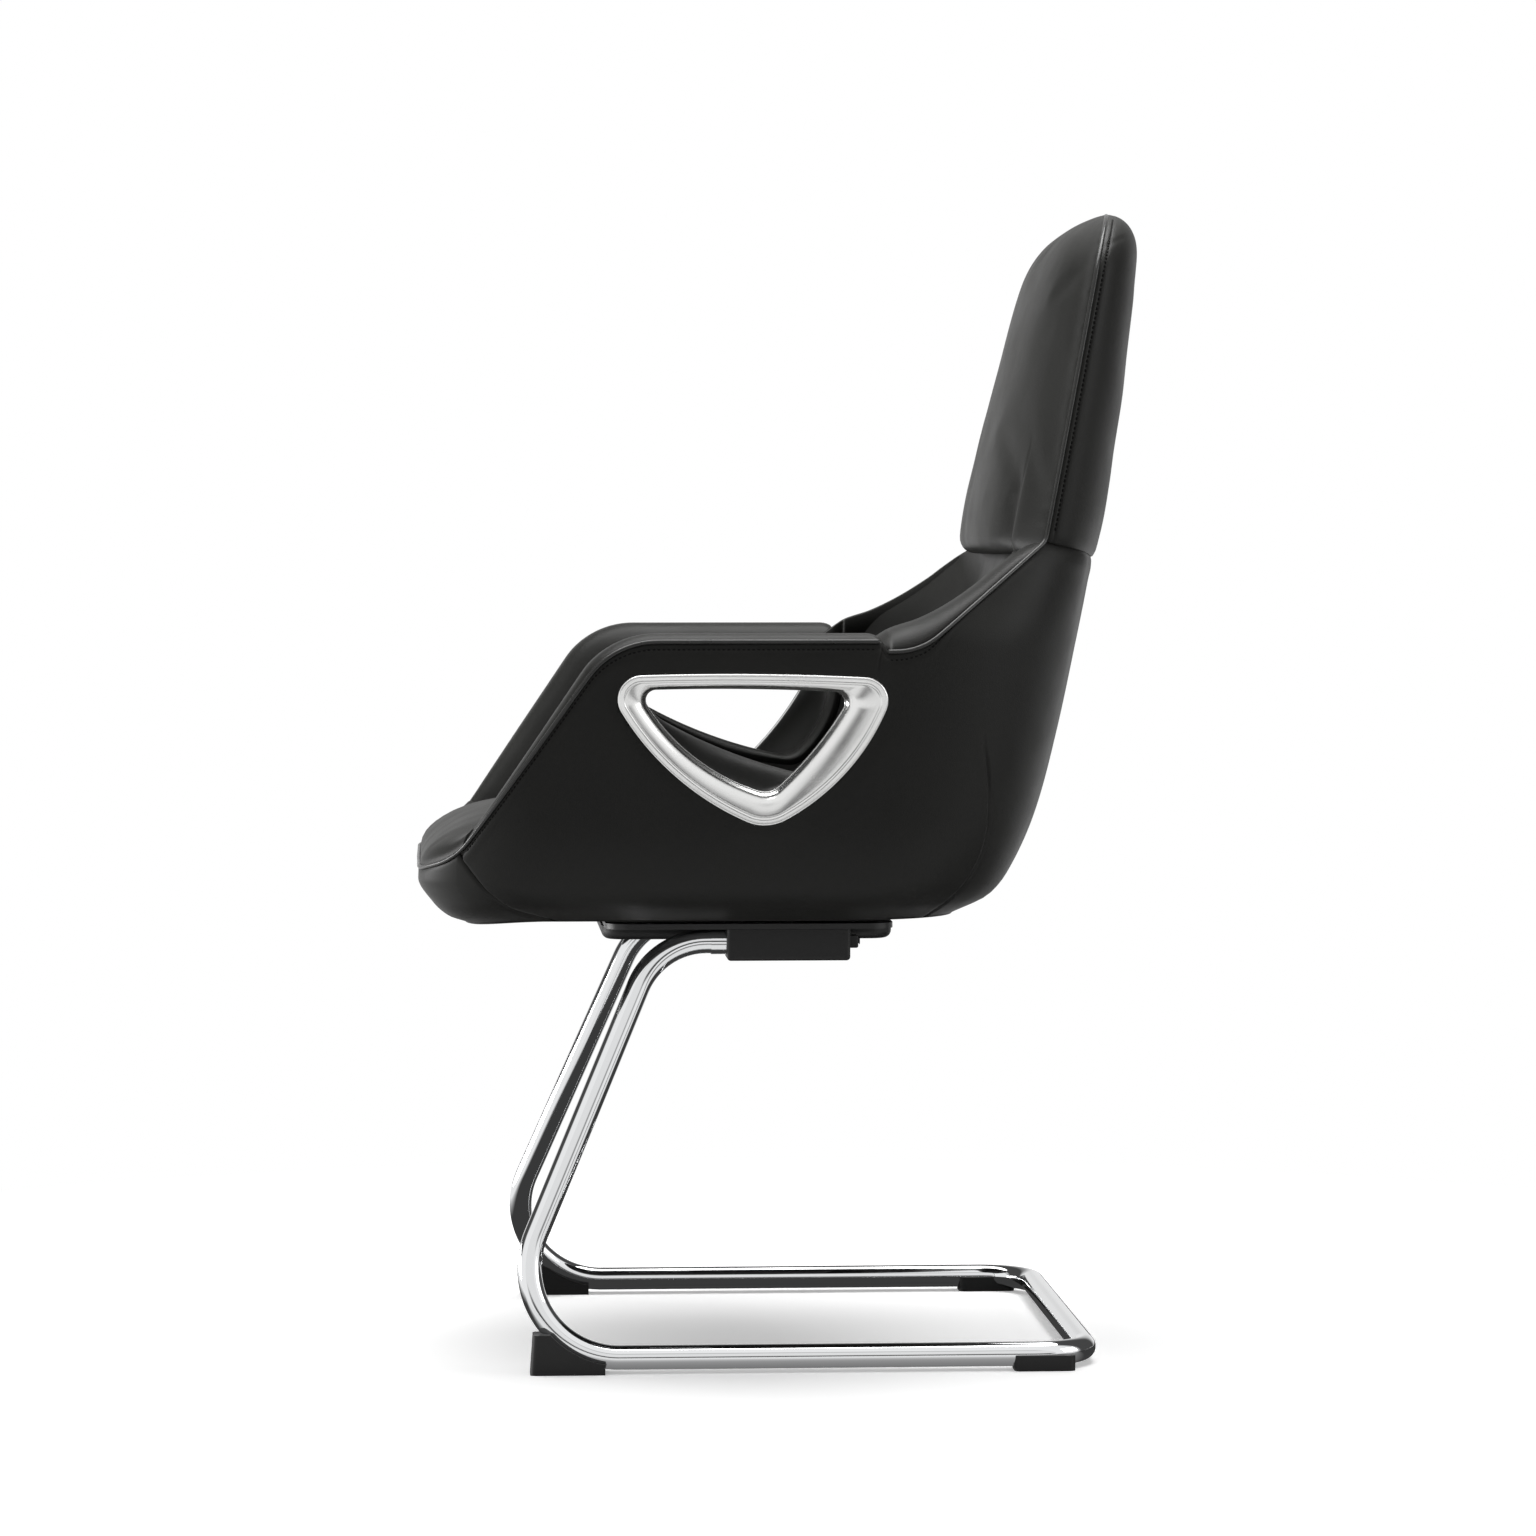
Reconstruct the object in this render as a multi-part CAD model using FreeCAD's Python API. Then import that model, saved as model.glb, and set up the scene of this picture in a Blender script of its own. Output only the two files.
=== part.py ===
import FreeCAD, Part
import math
import os
from FreeCAD import Vector

# Executive visitor chair on a cantilever sled frame.
# Millimetres, floor at z = 0, the sitter faces -y, the sitter's left is +x.

# Overall sizes
overall_depth = 666.0
shell_width = 620.0
back_height = 646.0          # underside of the shell to the top of the head

# Bent tube frame
tube_diameter = 22.0
tube_wall = 2.0
bend_radius = 80.0
rear_bend_radius = 50.0
runner_spacing = 520.0
socket_spacing = 340.0
frame_rise = 366.0           # runner axis to socket axis
toe_setback = 57.5           # nose to the sharp corner of leg and runner
leg_rake = 157.5             # how far the leg leans forward
frame_length = 543.0         # toe corner to the axis of the rear bar

# Feet
sole_thickness = 3.0
foot_wall = 3.0
foot_length = 67.0
foot_lead = 1.5              # front foot ahead of the tube axis
glide_length = 55.0
glide_setback = 14.0         # glide back face ahead of the rear bar axis
foot_lip = 36.0              # floor to the top of the front foot
foot_rake = 2.5
foot_corner = 5.0
foot_saddle = 6.0            # tube axis to the top of the saddle wall, beyond the bend
foot_screw_inset = 16.0      # foot rear to its screw
glide_corner = 6.0
foot_screw_diameter = 4.0
foot_screw_recess = 1.0

# Sockets that hold the tube ends
knee_radius = 68.0           # bend under the seat
ferrule_length = 14.0
ferrule_wall = 0.8
block_length = 100.0
block_width = 34.0
block_under = 14.0           # socket axis to the block underside
block_over = 12.0            # socket axis to the block top
block_setback = 284.0        # nose to the block front
cover_wall = 2.5
cover_nose = 6.0
cover_tail = 8.0
cover_round = 3.5
tail_half = 9.0
tail_under = 6.0
tail_over = 5.0
tail_round = 2.0
block_end_wall = 4.0
block_chamfer = 4.0
cover_screw_diameter = 3.5
cover_screw_grip = 4.0
socket_bolt_diameter = 8.0
socket_bolt_pitch = 48.0
bolt_head_height = 3.2
bolt_head_ratio = 1.7        # screw head to shank
bolt_key_radius = 2.9
bolt_key_depth = 2.2

# Mounting plate and shroud
plate_thickness = 5.0
plate_length = 262.0
plate_width = 380.0
plate_setback = 168.0        # nose to the plate front
plate_corner = 24.0
shroud_depth = 12.0
shroud_wall = 2.5
shroud_corner = 22.0
shroud_overhang = 2.0
shroud_gap = 3.6             # shroud side to the socket cover
shroud_edge = 7.0
shroud_rib = 2.4
shroud_rib_inset = 20.0
shroud_rib_drop = 7.0
shroud_boss = 9.0
shroud_screw_diameter = 4.0
shroud_screw_x = 110.0
shroud_screw_y = 112.0
window_half_x = 45.0
window_half_y = 50.0
window_corner = 15.0
plate_bolt_diameter = 8.0
plate_bolt_clearance = 1.0
hex_radius = 7.5
hex_height = 5.0
tee_barrel = 10.0
tee_depth = 11.0
tee_flange = 20.0
tee_flange_thickness = 1.5
bolt_pitch_x = 180.0
bolt_pitch_y = 160.0
spacer_diameter = 24.0
shell_clearance = 5.0        # plate top to the shell underside

# Upholstered walls, from the outside inwards
side_pad = 20.0
core_thickness = 14.0
lining_pad = 22.0
seat_board_thickness = 15.0
dust_cover_thickness = 1.5
core_setback = 80.0          # nose to the front end of the arm core
lining_setback = 30.0
core_screw_diameter = 5.0
core_screw_head = 9.0
core_screw_head_height = 3.0
core_screw_length = 42.0
core_screw_sink = 12.0       # face of the core to the screw head
core_screw_setbacks = (170.0, 260.0, 350.0)
board_lift = 2.0             # shell underside to the seat board
nose_height = 37.0           # shell underside to the nose piping
apron_seam_lead = 4.0        # apron seam ahead of and below the foot of the arm slope
apron_seam_drop = 5.0
apron_bow_setback = 62.0     # nose to the bow of the apron seam, then to its foot
apron_bow_height = 27.0
apron_foot_setback = 122.0
arm_height = 253.0           # shell underside to the arm piping
arm_foot_share = 0.0578      # nose to the foot of the arm slope, of the overall depth
arm_front_share = 0.2575     # nose to the sharp front corner of the arm
arm_end_share = 0.6149       # nose to the rear end of the arm strip
wing_foot_share = 0.6644     # nose to the sharp foot of the wing
arm_foot_height = 68.0
arm_bend_radius = 75.0
arm_pad_depth = 10.0
arm_pad_crown = 5.5
arm_pad_edge = 6.0
arm_pad_arch = 3.0
piping_gap = 0.6             # outer skin to the pads that stand inside the piping
core_drop = 4.8              # top edge of the plywood below the top of the foam
wing_foot_height = 244.0
wing_bend_radius = 60.0
wing_roll_height = 24.0
wing_roll_arch = 2.5
wing_start = 2.0             # arm strip to the front end of the roll
head_seam_height = 341.0
head_seam_setback = 104.5    # head back to the foot of the head piping
head_seam_fall = 0.22
seat_crest = 102.0           # shell underside to the crest of the seat front
seat_rear_height = 87.0
seat_crown = 9.0
seat_crown_rise = 30.0       # height above the nose piping at which the crown is full
seat_side_least = 12.0
seat_side_gap = 2.0
cavity_corner = 110.0
tub_foot = 20.0              # how far the inner tub shapes run below the shell
crest_setback = 62.0
seat_rear_setback = 173.0    # head back to the rear of the seat cushion
rear_seam_foot = 208.0       # head back to the seam of the outer back, at its foot, bow and top
rear_seam_bow = 156.5
rear_seam_top = 163.5
rear_seam_height = 170.0

# Upper back
head_half_width = 238.0
head_top_half_width = 212.0
head_lean = 0.195
head_round = 63.0            # height over which the top of the head rounds off
front_pad_foot = 51.0
front_pad_top = 34.5
rear_pad_foot = 68.5
rear_pad_top = 53.0
piping_sweep = 19.0          # how far the head piping runs back over the top
channel_share = 0.66         # centre to the soft channel, of the half width
bolster_share = 0.85         # centre to the middle of the bolster
head_top_share = 0.12        # how much of the width is left at the very top
head_foot_drop = 12.0        # head seam to the underside of the head cushion
head_foot_round = 14.0
head_foot_tuck = 0.22        # how much of the depth is lost at the very foot
shell_corner_share = 0.86    # stations of the head's rear section, of the half width
shell_rear_share = 0.55
shell_power = 2.4
upper_board_thickness = 12.0
upper_board_cover = 34.3     # rear skin to the upper board
upper_board_margin = 62.0    # head edge to the board edge
upper_board_low = 14.0       # head seam to the board foot
upper_board_high = 6.0       # board top below the rounded top
strap_width = 28.0
strap_thickness = 4.0
strap_length = 150.0
strap_spacing = 160.0
strap_share = 0.48           # share of the strap below the head seam
strap_bend = 11.0            # head seam to the bend of the strap
wing_margin = 8.0

# Arm opening and its bezel ring, corners measured from the ring centre
ring_centre_share = 0.4602   # nose to the ring centre, of the overall depth
ring_centre_height = 158.0   # shell underside to the ring centre
ring_flange = 5.0
ring_bevel = 1.5
ring_collar = 14.0
ring_collar_wall = 9.0
ring_lip = 5.0
sleeve_gap = 0.4
stud_diameter = 4.0
stud_length = 26.0

# Clearances
fit = 0.3
slip = 0.05
smallest_round = 20.0
cutter = 90.0                # how far cutting shapes reach beyond the part

# Derived positions
nose_y = -overall_depth / 2
back_y = overall_depth / 2
half_shell = shell_width / 2
runner_z = sole_thickness + tube_diameter / 2
socket_z = runner_z + frame_rise
toe_y = nose_y + toe_setback
knee_y = toe_y + leg_rake
rear_bar_y = toe_y + frame_length
runner_x = runner_spacing / 2
socket_x = socket_spacing / 2
block_front = nose_y + block_setback
block_rear = block_front + block_length
block_bottom = socket_z - block_under
plate_bottom = socket_z + block_over
plate_top = plate_bottom + plate_thickness
plate_front = nose_y + plate_setback
plate_middle = plate_front + plate_length / 2
shell_z = plate_top + shell_clearance
board_z = shell_z + board_lift
board_top = board_z + seat_board_thickness
head_z = shell_z + head_seam_height
top_z = shell_z + back_height
head_y = back_y - head_seam_setback
arm_end_y = nose_y + arm_end_share * overall_depth
arm_z = shell_z + arm_height

# Depths of the wall layers below the outer skin
pad_in = side_pad
core_out = side_pad + fit
core_in = core_out + core_thickness
lining_out = core_in + fit
lining_in = lining_out + lining_pad


def smooth(stations):
    # Monotone cubic curve through (place, value) stations, as a function of the place.
    xs = [s[0] for s in stations]
    ys = [s[1] for s in stations]
    steps = [b - a for a, b in zip(xs, xs[1:])]
    slopes = [(b - a) / h for a, b, h in zip(ys, ys[1:], steps)]
    tangents = [slopes[0]]
    for before, after in zip(slopes, slopes[1:]):
        tangents.append(0.0 if before * after <= 0 else 2 * before * after / (before + after))
    tangents.append(slopes[-1])

    def value(x):
        k = 0
        while k < len(steps) - 1 and x > xs[k + 1]:
            k += 1
        t = min(max((x - xs[k]) / steps[k], 0.0), 1.0)
        a = (1 + 2 * t) * (1 - t) ** 2 * ys[k] + t * t * (3 - 2 * t) * ys[k + 1]
        b = t * (1 - t) ** 2 * tangents[k] - t * t * (1 - t) * tangents[k + 1]
        return a + b * steps[k]
    return value


# Outer form of the tub, by height above the shell underside
side_inset = smooth([(0, 98), (18, 58), (38, 42), (93, 20), (168, 6), (248, 0), (298, 28), (350, 69)])
nose_inset = smooth([(0, 42), (5, 27), (18, 13), (38, 0), (350, 0)])
rear_inset = smooth([(0, 169), (18, 133), (38, 117), (93, 92), (168, 72), (248, 55), (298, 45), (350, 36)])
rear_half = smooth([(0, 120), (38, 158), (93, 176), (350, 176)])
rear_crown = smooth([(0, 9), (38, 15), (93, 19), (350, 19)])
front_round = smooth([(0, 88), (38, 110), (350, 110)])
inner_back = smooth([(0, 197), (78, 180), (158, 158), (238, 143), (329, 125), (350, 121)])
tub_levels = [0, 4, 9, 18, 28, 38, 65, 93, 130, 168, 208, 248, 273, 298, 324, 350]


def line(a, b):
    return Part.LineSegment(a, b).toShape()


def arc(a, b, c):
    return Part.Arc(a, b, c).toShape()


def loft(wires):
    return Part.makeLoft(wires, True, False, False, 3)


def moved(shape, x=0.0, y=0.0, z=0.0):
    copy = shape.copy()
    copy.translate(Vector(x, y, z))
    return copy


def mirrored(shape):
    return shape.mirror(Vector(0, 0, 0), Vector(1, 0, 0))


def flip(p):
    return Vector(-p.x, p.y, p.z)


def both_sides(shape):
    return [shape, mirrored(shape)]


def box(x0, x1, y0, y1, z0, z1):
    return Part.makeBox(x1 - x0, y1 - y0, z1 - z0, Vector(x0, y0, z0))


def rod(diameter, length, base, axis):
    return Part.makeCylinder(diameter / 2, length, base, axis)


def rounded_edges(points, radii):
    # Straight runs joined by tangent arcs; radii belong to the inner corners.
    edges = []
    start = points[0]
    for k, radius in enumerate(radii):
        corner = points[k + 1]
        back = (points[k] - corner).normalize()
        ahead = (points[k + 2] - corner).normalize()
        half = back.getAngle(ahead) / 2
        reach = radius / math.tan(half)
        inward = (back + ahead).normalize()
        middle = corner + inward * (radius / math.sin(half) - radius)
        enter = corner + back * reach
        leave = corner + ahead * reach
        edges.append(line(start, enter))
        edges.append(arc(enter, middle, leave))
        start = leave
    edges.append(line(start, points[-1]))
    return edges


def rounded_slab(half_x, y0, y1, z0, height, radius):
    # Flat plate with rounded corners, centred on x = 0.
    plate = box(-half_x, half_x, y0, y1, z0, z0 + height)
    return plate.makeFillet(radius, upright_edges(plate))


def upright_edges(shape):
    return [e for e in shape.Edges if e.BoundBox.XLength < slip and e.BoundBox.YLength < slip]


def side_prism(edges, x0, x1):
    # Closed outline in the side view, drawn at x = 0, run from x0 to x1.
    face = Part.Face(Part.Wire(edges))
    return moved(face, x=x0).extrude(Vector(x1 - x0, 0, 0))


def side_points(pairs):
    return [Vector(0, y, z) for y, z in pairs]


def polygon_prism(pairs, x0, x1):
    points = side_points(pairs)
    edges = [line(a, b) for a, b in zip(points, points[1:] + points[:1])]
    return side_prism(edges, x0, x1)


def tub(side, front, rear, rear_curve=rear_inset, corner=None, foot=0):
    # Loft of rounded plans; side, front and rear are depths below the outer skin.
    wires = []
    for height in tub_levels:
        z = shell_z + height - (foot if height == 0 else 0)
        w = half_shell - side_inset(height) - side
        y0 = nose_y + nose_inset(height) + front
        y1 = back_y - rear_curve(height) - rear
        rf = max(front_round(height) - side, smallest_round)
        if corner:
            rear_plan = (w - corner, 0.0, 0.0)
        else:
            half, crown, turn = rear_shape(height)
            rear_plan = (half - side * math.sin(turn), crown - side * (1 - math.cos(turn)), turn)
        wires.append(plan_wire(w, y0, y1, rf, rear_plan, z))
    return loft(wires)


def rear_shape(height):
    # Half width and crown of the rear arc, and the angle at which it meets the corner.
    half = rear_half(height)
    crown = rear_crown(height)
    return half, crown, 2 * math.atan(crown / half)


def corner_round(w, rear_plan):
    # Radius and hub distance ahead of the rear of the corner that joins the rear arc to the side.
    half, crown, turn = rear_plan
    radius = (w - half) / (1 - math.sin(turn))
    return radius, crown + radius * math.cos(turn)


def plan_wire(w, y0, y1, rf, rear_plan, z):
    half, crown, turn = rear_plan
    rr, ahead = corner_round(w, rear_plan)
    hub = y1 - ahead
    middle = (math.pi / 2 - turn) / 2
    c = math.sqrt(0.5)
    front = Vector(w - rf, y0, z)
    front_turn = Vector(w - rf + rf * c, y0 + rf - rf * c, z)
    side_start = Vector(w, y0 + rf, z)
    side_end = Vector(w, hub, z)
    rear_turn = Vector(w - rr + rr * math.cos(middle), hub + rr * math.sin(middle), z)
    rear = Vector(half, y1 - crown, z)
    edges = [line(flip(front), front), arc(front, front_turn, side_start), line(side_start, side_end),
             arc(side_end, rear_turn, rear)]
    if crown:
        edges.append(arc(rear, Vector(0, y1, z), flip(rear)))
    else:
        edges.append(line(rear, flip(rear)))
    edges += [arc(flip(rear), flip(rear_turn), flip(side_end)), line(flip(side_end), flip(side_start)),
              arc(flip(side_start), flip(front_turn), flip(front))]
    return Part.Wire(edges)


def skin_x(y, z):
    # Half width of the outer skin at a point of the side view.
    height = z - shell_z
    w = half_shell - side_inset(height)
    rf = front_round(height)
    rr, ahead = corner_round(w, rear_shape(height))
    front = nose_y + nose_inset(height) + rf
    rear = back_y - rear_inset(height) - ahead
    if y < front:
        return w - rf + math.sqrt(max(rf * rf - (front - y) ** 2, 0.0))
    if y > rear:
        return w - rr + math.sqrt(max(rr * rr - (y - rear) ** 2, 0.0))
    return w


# Side view lines of the arm and the wing
arm_foot = (nose_y + arm_foot_share * overall_depth, shell_z + arm_foot_height)
arm_corner = (nose_y + arm_front_share * overall_depth, arm_z)
arm_slope = math.atan2(arm_corner[1] - arm_foot[1], arm_corner[0] - arm_foot[0])
wing_foot = (nose_y + wing_foot_share * overall_depth, shell_z + wing_foot_height)
wing_top = (head_y, head_z)
wing_slope = math.atan2(wing_top[1] - wing_foot[1], wing_top[0] - wing_foot[0])


def wall_outline(arm_drop, wing_drop, head_drop):
    # Everything below the nose, arm, wing and head lines, dropped by the given depths.
    turn = math.tan(arm_slope / 2)
    foot_y = arm_foot[0] + arm_drop * math.sin(arm_slope)
    foot_z = arm_foot[1] - arm_drop * math.cos(arm_slope)
    corner = (arm_corner[0] + arm_drop * turn, arm_corner[1] - arm_drop)
    foot = (wing_foot[0] + wing_drop * math.tan(wing_slope / 2), wing_foot[1] - wing_drop)
    top_y = wing_top[0] + wing_drop * math.sin(wing_slope)
    top_z = wing_top[1] - wing_drop * math.cos(wing_slope) - head_drop
    far_z = top_z - head_seam_fall * (back_y + cutter - top_y)
    low = shell_z - cutter
    seat_z = shell_z + nose_height
    start = [(nose_y - cutter, low), (nose_y - cutter, seat_z), (nose_y, seat_z)]
    edges = [line(a, b) for a, b in zip(side_points(start), side_points(start)[1:])]
    nose = start[-1]
    arm_run = side_points([nose, (foot_y, foot_z), corner, (arm_end_y, corner[1])])
    edges.append(line(arm_run[0], arm_run[1]))
    edges += rounded_edges(arm_run[1:], [arm_bend_radius - arm_drop])
    step = Vector(0, arm_end_y, foot[1])
    edges.append(line(arm_run[-1], step))
    wing_run = [step] + side_points([foot, (top_y, top_z)])
    edges += rounded_edges(wing_run, [wing_bend_radius + wing_drop])
    end = side_points([(top_y, top_z), (back_y + cutter, far_z), (back_y + cutter, low), start[0]])
    edges += [line(a, b) for a, b in zip(end, end[1:])]
    return side_prism(edges, -half_shell - cutter, half_shell + cutter)


def side_zone(a, b, c, top, bottom, far_y):
    # Side-view area between a seam arc a-b-c and a far line, as a prism across the chair.
    far = side_points([(c.y, bottom if c.z < a.z else top), (far_y, bottom if c.z < a.z else top),
                       (far_y, top if c.z < a.z else bottom), (a.y, top if c.z < a.z else bottom)])
    edges = [arc(a, b, c), line(c, far[0])]
    edges += [line(p, q) for p, q in zip(far, far[1:])]
    edges.append(line(far[-1], a))
    return side_prism(edges, -half_shell - cutter, half_shell + cutter)


def front_zone(gap):
    # In front of the seam that parts the apron from the side panels.
    a = Vector(0, arm_foot[0] - apron_seam_lead - gap, arm_foot[1] - apron_seam_drop)
    b = Vector(0, nose_y + apron_bow_setback - gap, shell_z + apron_bow_height)
    c = Vector(0, nose_y + apron_foot_setback - gap, shell_z)
    return side_zone(a, b, c, a.z + cutter, shell_z - cutter, nose_y - cutter)


def rear_zone(gap):
    # Behind the seam that parts the outer back from the side panels.
    a = Vector(0, back_y - rear_seam_foot + gap, shell_z)
    b = Vector(0, back_y - rear_seam_bow + gap, shell_z + rear_seam_height / 2)
    c = Vector(0, back_y - rear_seam_top + gap, shell_z + rear_seam_height)
    return side_zone(a, b, c, head_z + cutter, shell_z - cutter, back_y + cutter)


def half_space(x0):
    return box(x0, half_shell + cutter, nose_y - cutter, back_y + cutter, shell_z - cutter, head_z + cutter)


# Three-cornered outlines: corner centres, corner radii and edge radii, all joined tangentially
ring_tilt = math.radians(8.4)
ring_half_height = 68.5
ring_outer = [(-110, 45), (0, -38), (86, 43)], [22, 31, 22], [250, 200, 2500]
ring_inner = [(-97, 42), (0, -24), (60, 39)], [10, 18, 11], [190, 315, 2000]
hole_inner = [(-95, 36), (50, -14), (78, 36)], [14, 21, 18], [450, 100, 1500]
stud_spots = [(-124, 45), (0, -61), (96, 40)]

# Dished face of the ring: height above the panel, share of the way from the lip to the opening
ring_dish = [(ring_flange + ring_lip, 0), (ring_flange, 0), (2.6, 0.45), (-1.5, 0.8), (-6, 0.96),
             (-ring_collar - fit, 1)]


def grown(outline, d):
    centres, corners, edges = outline
    return centres, [r + d for r in corners], [r + d for r in edges]


def between(a, b, t):
    mix = [((1 - t) * p[0] + t * q[0], (1 - t) * p[1] + t * q[1]) for p, q in zip(a[0], b[0])]
    corners = [(1 - t) * p + t * q for p, q in zip(a[1], b[1])]
    edges = [(1 - t) * p + t * q for p, q in zip(a[2], b[2])]
    return mix, corners, edges


def three_corner_wire(outline, height):
    centres, corners, bulges = outline
    spots = [Vector(u, v, height) for u, v in centres]
    hubs = []
    for k in range(3):
        a = spots[k]
        b = spots[(k + 1) % 3]
        ra = bulges[k] - corners[k]
        rb = bulges[k] - corners[(k + 1) % 3]
        span = (b - a).Length
        along = (span * span + ra * ra - rb * rb) / (2 * span)
        off = math.sqrt(ra * ra - along * along)
        way = (b - a).normalize()
        hubs.append(a + way * along + Vector(-way.y, way.x, 0) * off)
    edges = []
    for k in range(3):
        hub_in = hubs[(k + 2) % 3]
        hub_out = hubs[k]
        spot = spots[k]
        far = spots[(k + 1) % 3]
        enter = spot + (spot - hub_in).normalize() * corners[k]
        leave = spot + (spot - hub_out).normalize() * corners[k]
        outward = ((enter - spot) + (leave - spot)).normalize()
        edges.append(arc(enter, spot + outward * corners[k], leave))
        end = far + (far - hub_out).normalize() * corners[(k + 1) % 3]
        middle = ((leave - hub_out) + (end - hub_out)).normalize()
        edges.append(arc(leave, hub_out + middle * bulges[k], end))
    return Part.Wire(edges)


def on_left_arm(shape):
    # From the ring's own plane (u rearwards, v up, n outwards) to the left arm.
    s = math.sin(ring_tilt)
    c = math.cos(ring_tilt)
    z = shell_z + ring_centre_height
    x = (skin_x(0, z - ring_half_height) + skin_x(0, z + ring_half_height)) / 2
    y = nose_y + ring_centre_share * overall_depth
    matrix = FreeCAD.Matrix(0, s, c, x, 1, 0, 0, y, 0, c, -s, z, 0, 0, 0, 1)
    copy = shape.copy()
    copy.Placement = FreeCAD.Placement(matrix)
    return copy


def frame_path():
    # Axis of the whole bent tube, from the left socket round the floor to the right socket.
    end_y = block_rear - block_end_wall
    left = [Vector(socket_x, end_y, socket_z), Vector(socket_x, knee_y, socket_z),
            Vector(runner_x, toe_y, runner_z), Vector(runner_x, rear_bar_y, runner_z)]
    right = [Vector(-p.x, p.y, p.z) for p in reversed(left)]
    radii = [knee_radius, bend_radius, rear_bend_radius]
    return Part.Wire(rounded_edges(left + right, radii + radii[::-1]))


def tube_along(path, diameter):
    start = path.Edges[0]
    way = start.tangentAt(start.FirstParameter)
    circle = Part.Circle(start.valueAt(start.FirstParameter), way, diameter / 2).toShape()
    return path.makePipeShell([Part.Wire([circle])], True, False)


def sled_frame(path):
    solid = tube_along(path, tube_diameter).cut(tube_along(path, tube_diameter - 2 * tube_wall))
    for drill in foot_screw_rods(foot_screw_diameter + 2 * slip, runner_z):
        solid = solid.cut(drill)
    for drill in socket_drills(socket_bolt_diameter + 2 * slip):
        solid = solid.cut(drill).cut(mirrored(drill))
    return solid


# The bend above the toe, seen from the side
leg_angle = math.atan2(frame_rise, leg_rake)
toe_hub_y = toe_y + bend_radius / math.tan(leg_angle / 2)
foot_y = toe_hub_y - bend_radius - foot_lead


def foot_screw_places():
    front = foot_y + foot_length - foot_screw_inset
    rear = rear_bar_y - glide_setback - glide_length / 2
    return [(x, y) for x in (runner_x, -runner_x) for y in (front, rear)]


def foot_screw_rods(diameter, top):
    return [rod(diameter, top - sole_thickness, Vector(x, y, sole_thickness), Vector(0, 0, 1))
            for x, y in foot_screw_places()]


def foot_screws():
    screws = []
    for x, y in foot_screw_places():
        head = Part.makeCone(foot_screw_diameter, foot_screw_diameter / 2, sole_thickness - foot_screw_recess,
                             Vector(x, y, foot_screw_recess), Vector(0, 0, 1))
        grip = Vector(x, y, sole_thickness)
        shank = rod(foot_screw_diameter, runner_z - sole_thickness, grip, Vector(0, 0, 1))
        screws.append(head.fuse(shank).removeSplitter())
    return Part.makeCompound(screws)


def foot_drill(x, y):
    pocket = rod(2 * (foot_screw_diameter + fit), sole_thickness, Vector(x, y, 0), Vector(0, 0, 1))
    return pocket.fuse(rod(foot_screw_diameter + 2 * slip, runner_z, Vector(x, y, 0), Vector(0, 0, 1)))


def front_foot(tube):
    # Saddle under the toe bend, its top following the bend.
    half = tube_diameter / 2 + foot_wall
    hub = Vector(0, toe_hub_y, runner_z + bend_radius)
    radius = bend_radius + foot_saddle
    front = foot_y
    rear = foot_y + foot_length

    def saddle(y):
        return Vector(0, y, hub.z - math.sqrt(radius ** 2 - (hub.y - y) ** 2))
    lip_y = hub.y - math.sqrt(radius ** 2 - (hub.z - foot_lip) ** 2)
    lip = Vector(0, front + foot_rake, foot_lip)
    start = Vector(0, front, 0)
    end = Vector(0, rear, 0)
    edges = [line(start, end), line(end, saddle(rear)),
             arc(saddle(rear), saddle((lip_y + rear) / 2), saddle(lip_y)),
             line(saddle(lip_y), lip), line(lip, start)]
    block = side_prism(edges, runner_x - half, runner_x + half)
    corners = [k for k in block.Edges
               if k.BoundBox.YMax < front + foot_lead * 2 and k.BoundBox.ZLength > foot_lip / 2]
    block = block.makeFillet(foot_corner, corners)
    block = block.cut(tube)
    return block.cut(foot_drill(runner_x, rear - foot_screw_inset))


def rear_glide(tube):
    # Half collar clipped under the runner, ahead of the rear corner.
    half = tube_diameter / 2 + foot_wall
    y1 = rear_bar_y - glide_setback
    y0 = y1 - glide_length
    block = box(runner_x - half, runner_x + half, y0, y1, 0, runner_z)
    block = block.makeFillet(glide_corner, upright_edges(block))
    block = block.cut(tube)
    return block.cut(foot_drill(runner_x, (y0 + y1) / 2))


def socket_bolt_spots():
    middle = (block_front + block_rear) / 2
    return [middle - socket_bolt_pitch / 2, middle + socket_bolt_pitch / 2]


def socket_drills(diameter):
    low = block_bottom - cutter / 2
    return [rod(diameter, cutter, Vector(socket_x, y, low), Vector(0, 0, 1)) for y in socket_bolt_spots()]


def tube_ferrule():
    # Bright ring on the tube where it enters the socket cover.
    y1 = block_front - cover_nose
    base = Vector(socket_x, y1 - ferrule_length, socket_z)
    bore = tube_diameter + 2 * slip
    ring = rod(bore + 2 * ferrule_wall, ferrule_length, base, Vector(0, 1, 0))
    return ring.cut(rod(bore, ferrule_length, base, Vector(0, 1, 0)))


def socket_block():
    half = block_width / 2
    block = box(socket_x - half, socket_x + half, block_front, block_rear, block_bottom, plate_bottom)
    lower = [k for k in block.Edges if k.BoundBox.ZMax < block_bottom + slip and k.BoundBox.XLength < slip]
    block = block.makeChamfer(block_chamfer, lower)
    reach = block_rear - block_front - block_end_wall
    mouth = Vector(socket_x, block_front, socket_z)
    block = block.cut(rod(tube_diameter + 2 * slip, reach, mouth, Vector(0, 1, 0)))
    block = block.cut(cover_screw_rod(2 * slip))
    for drill in socket_drills(socket_bolt_diameter + 2 * slip):
        block = block.cut(drill)
    return block


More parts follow.
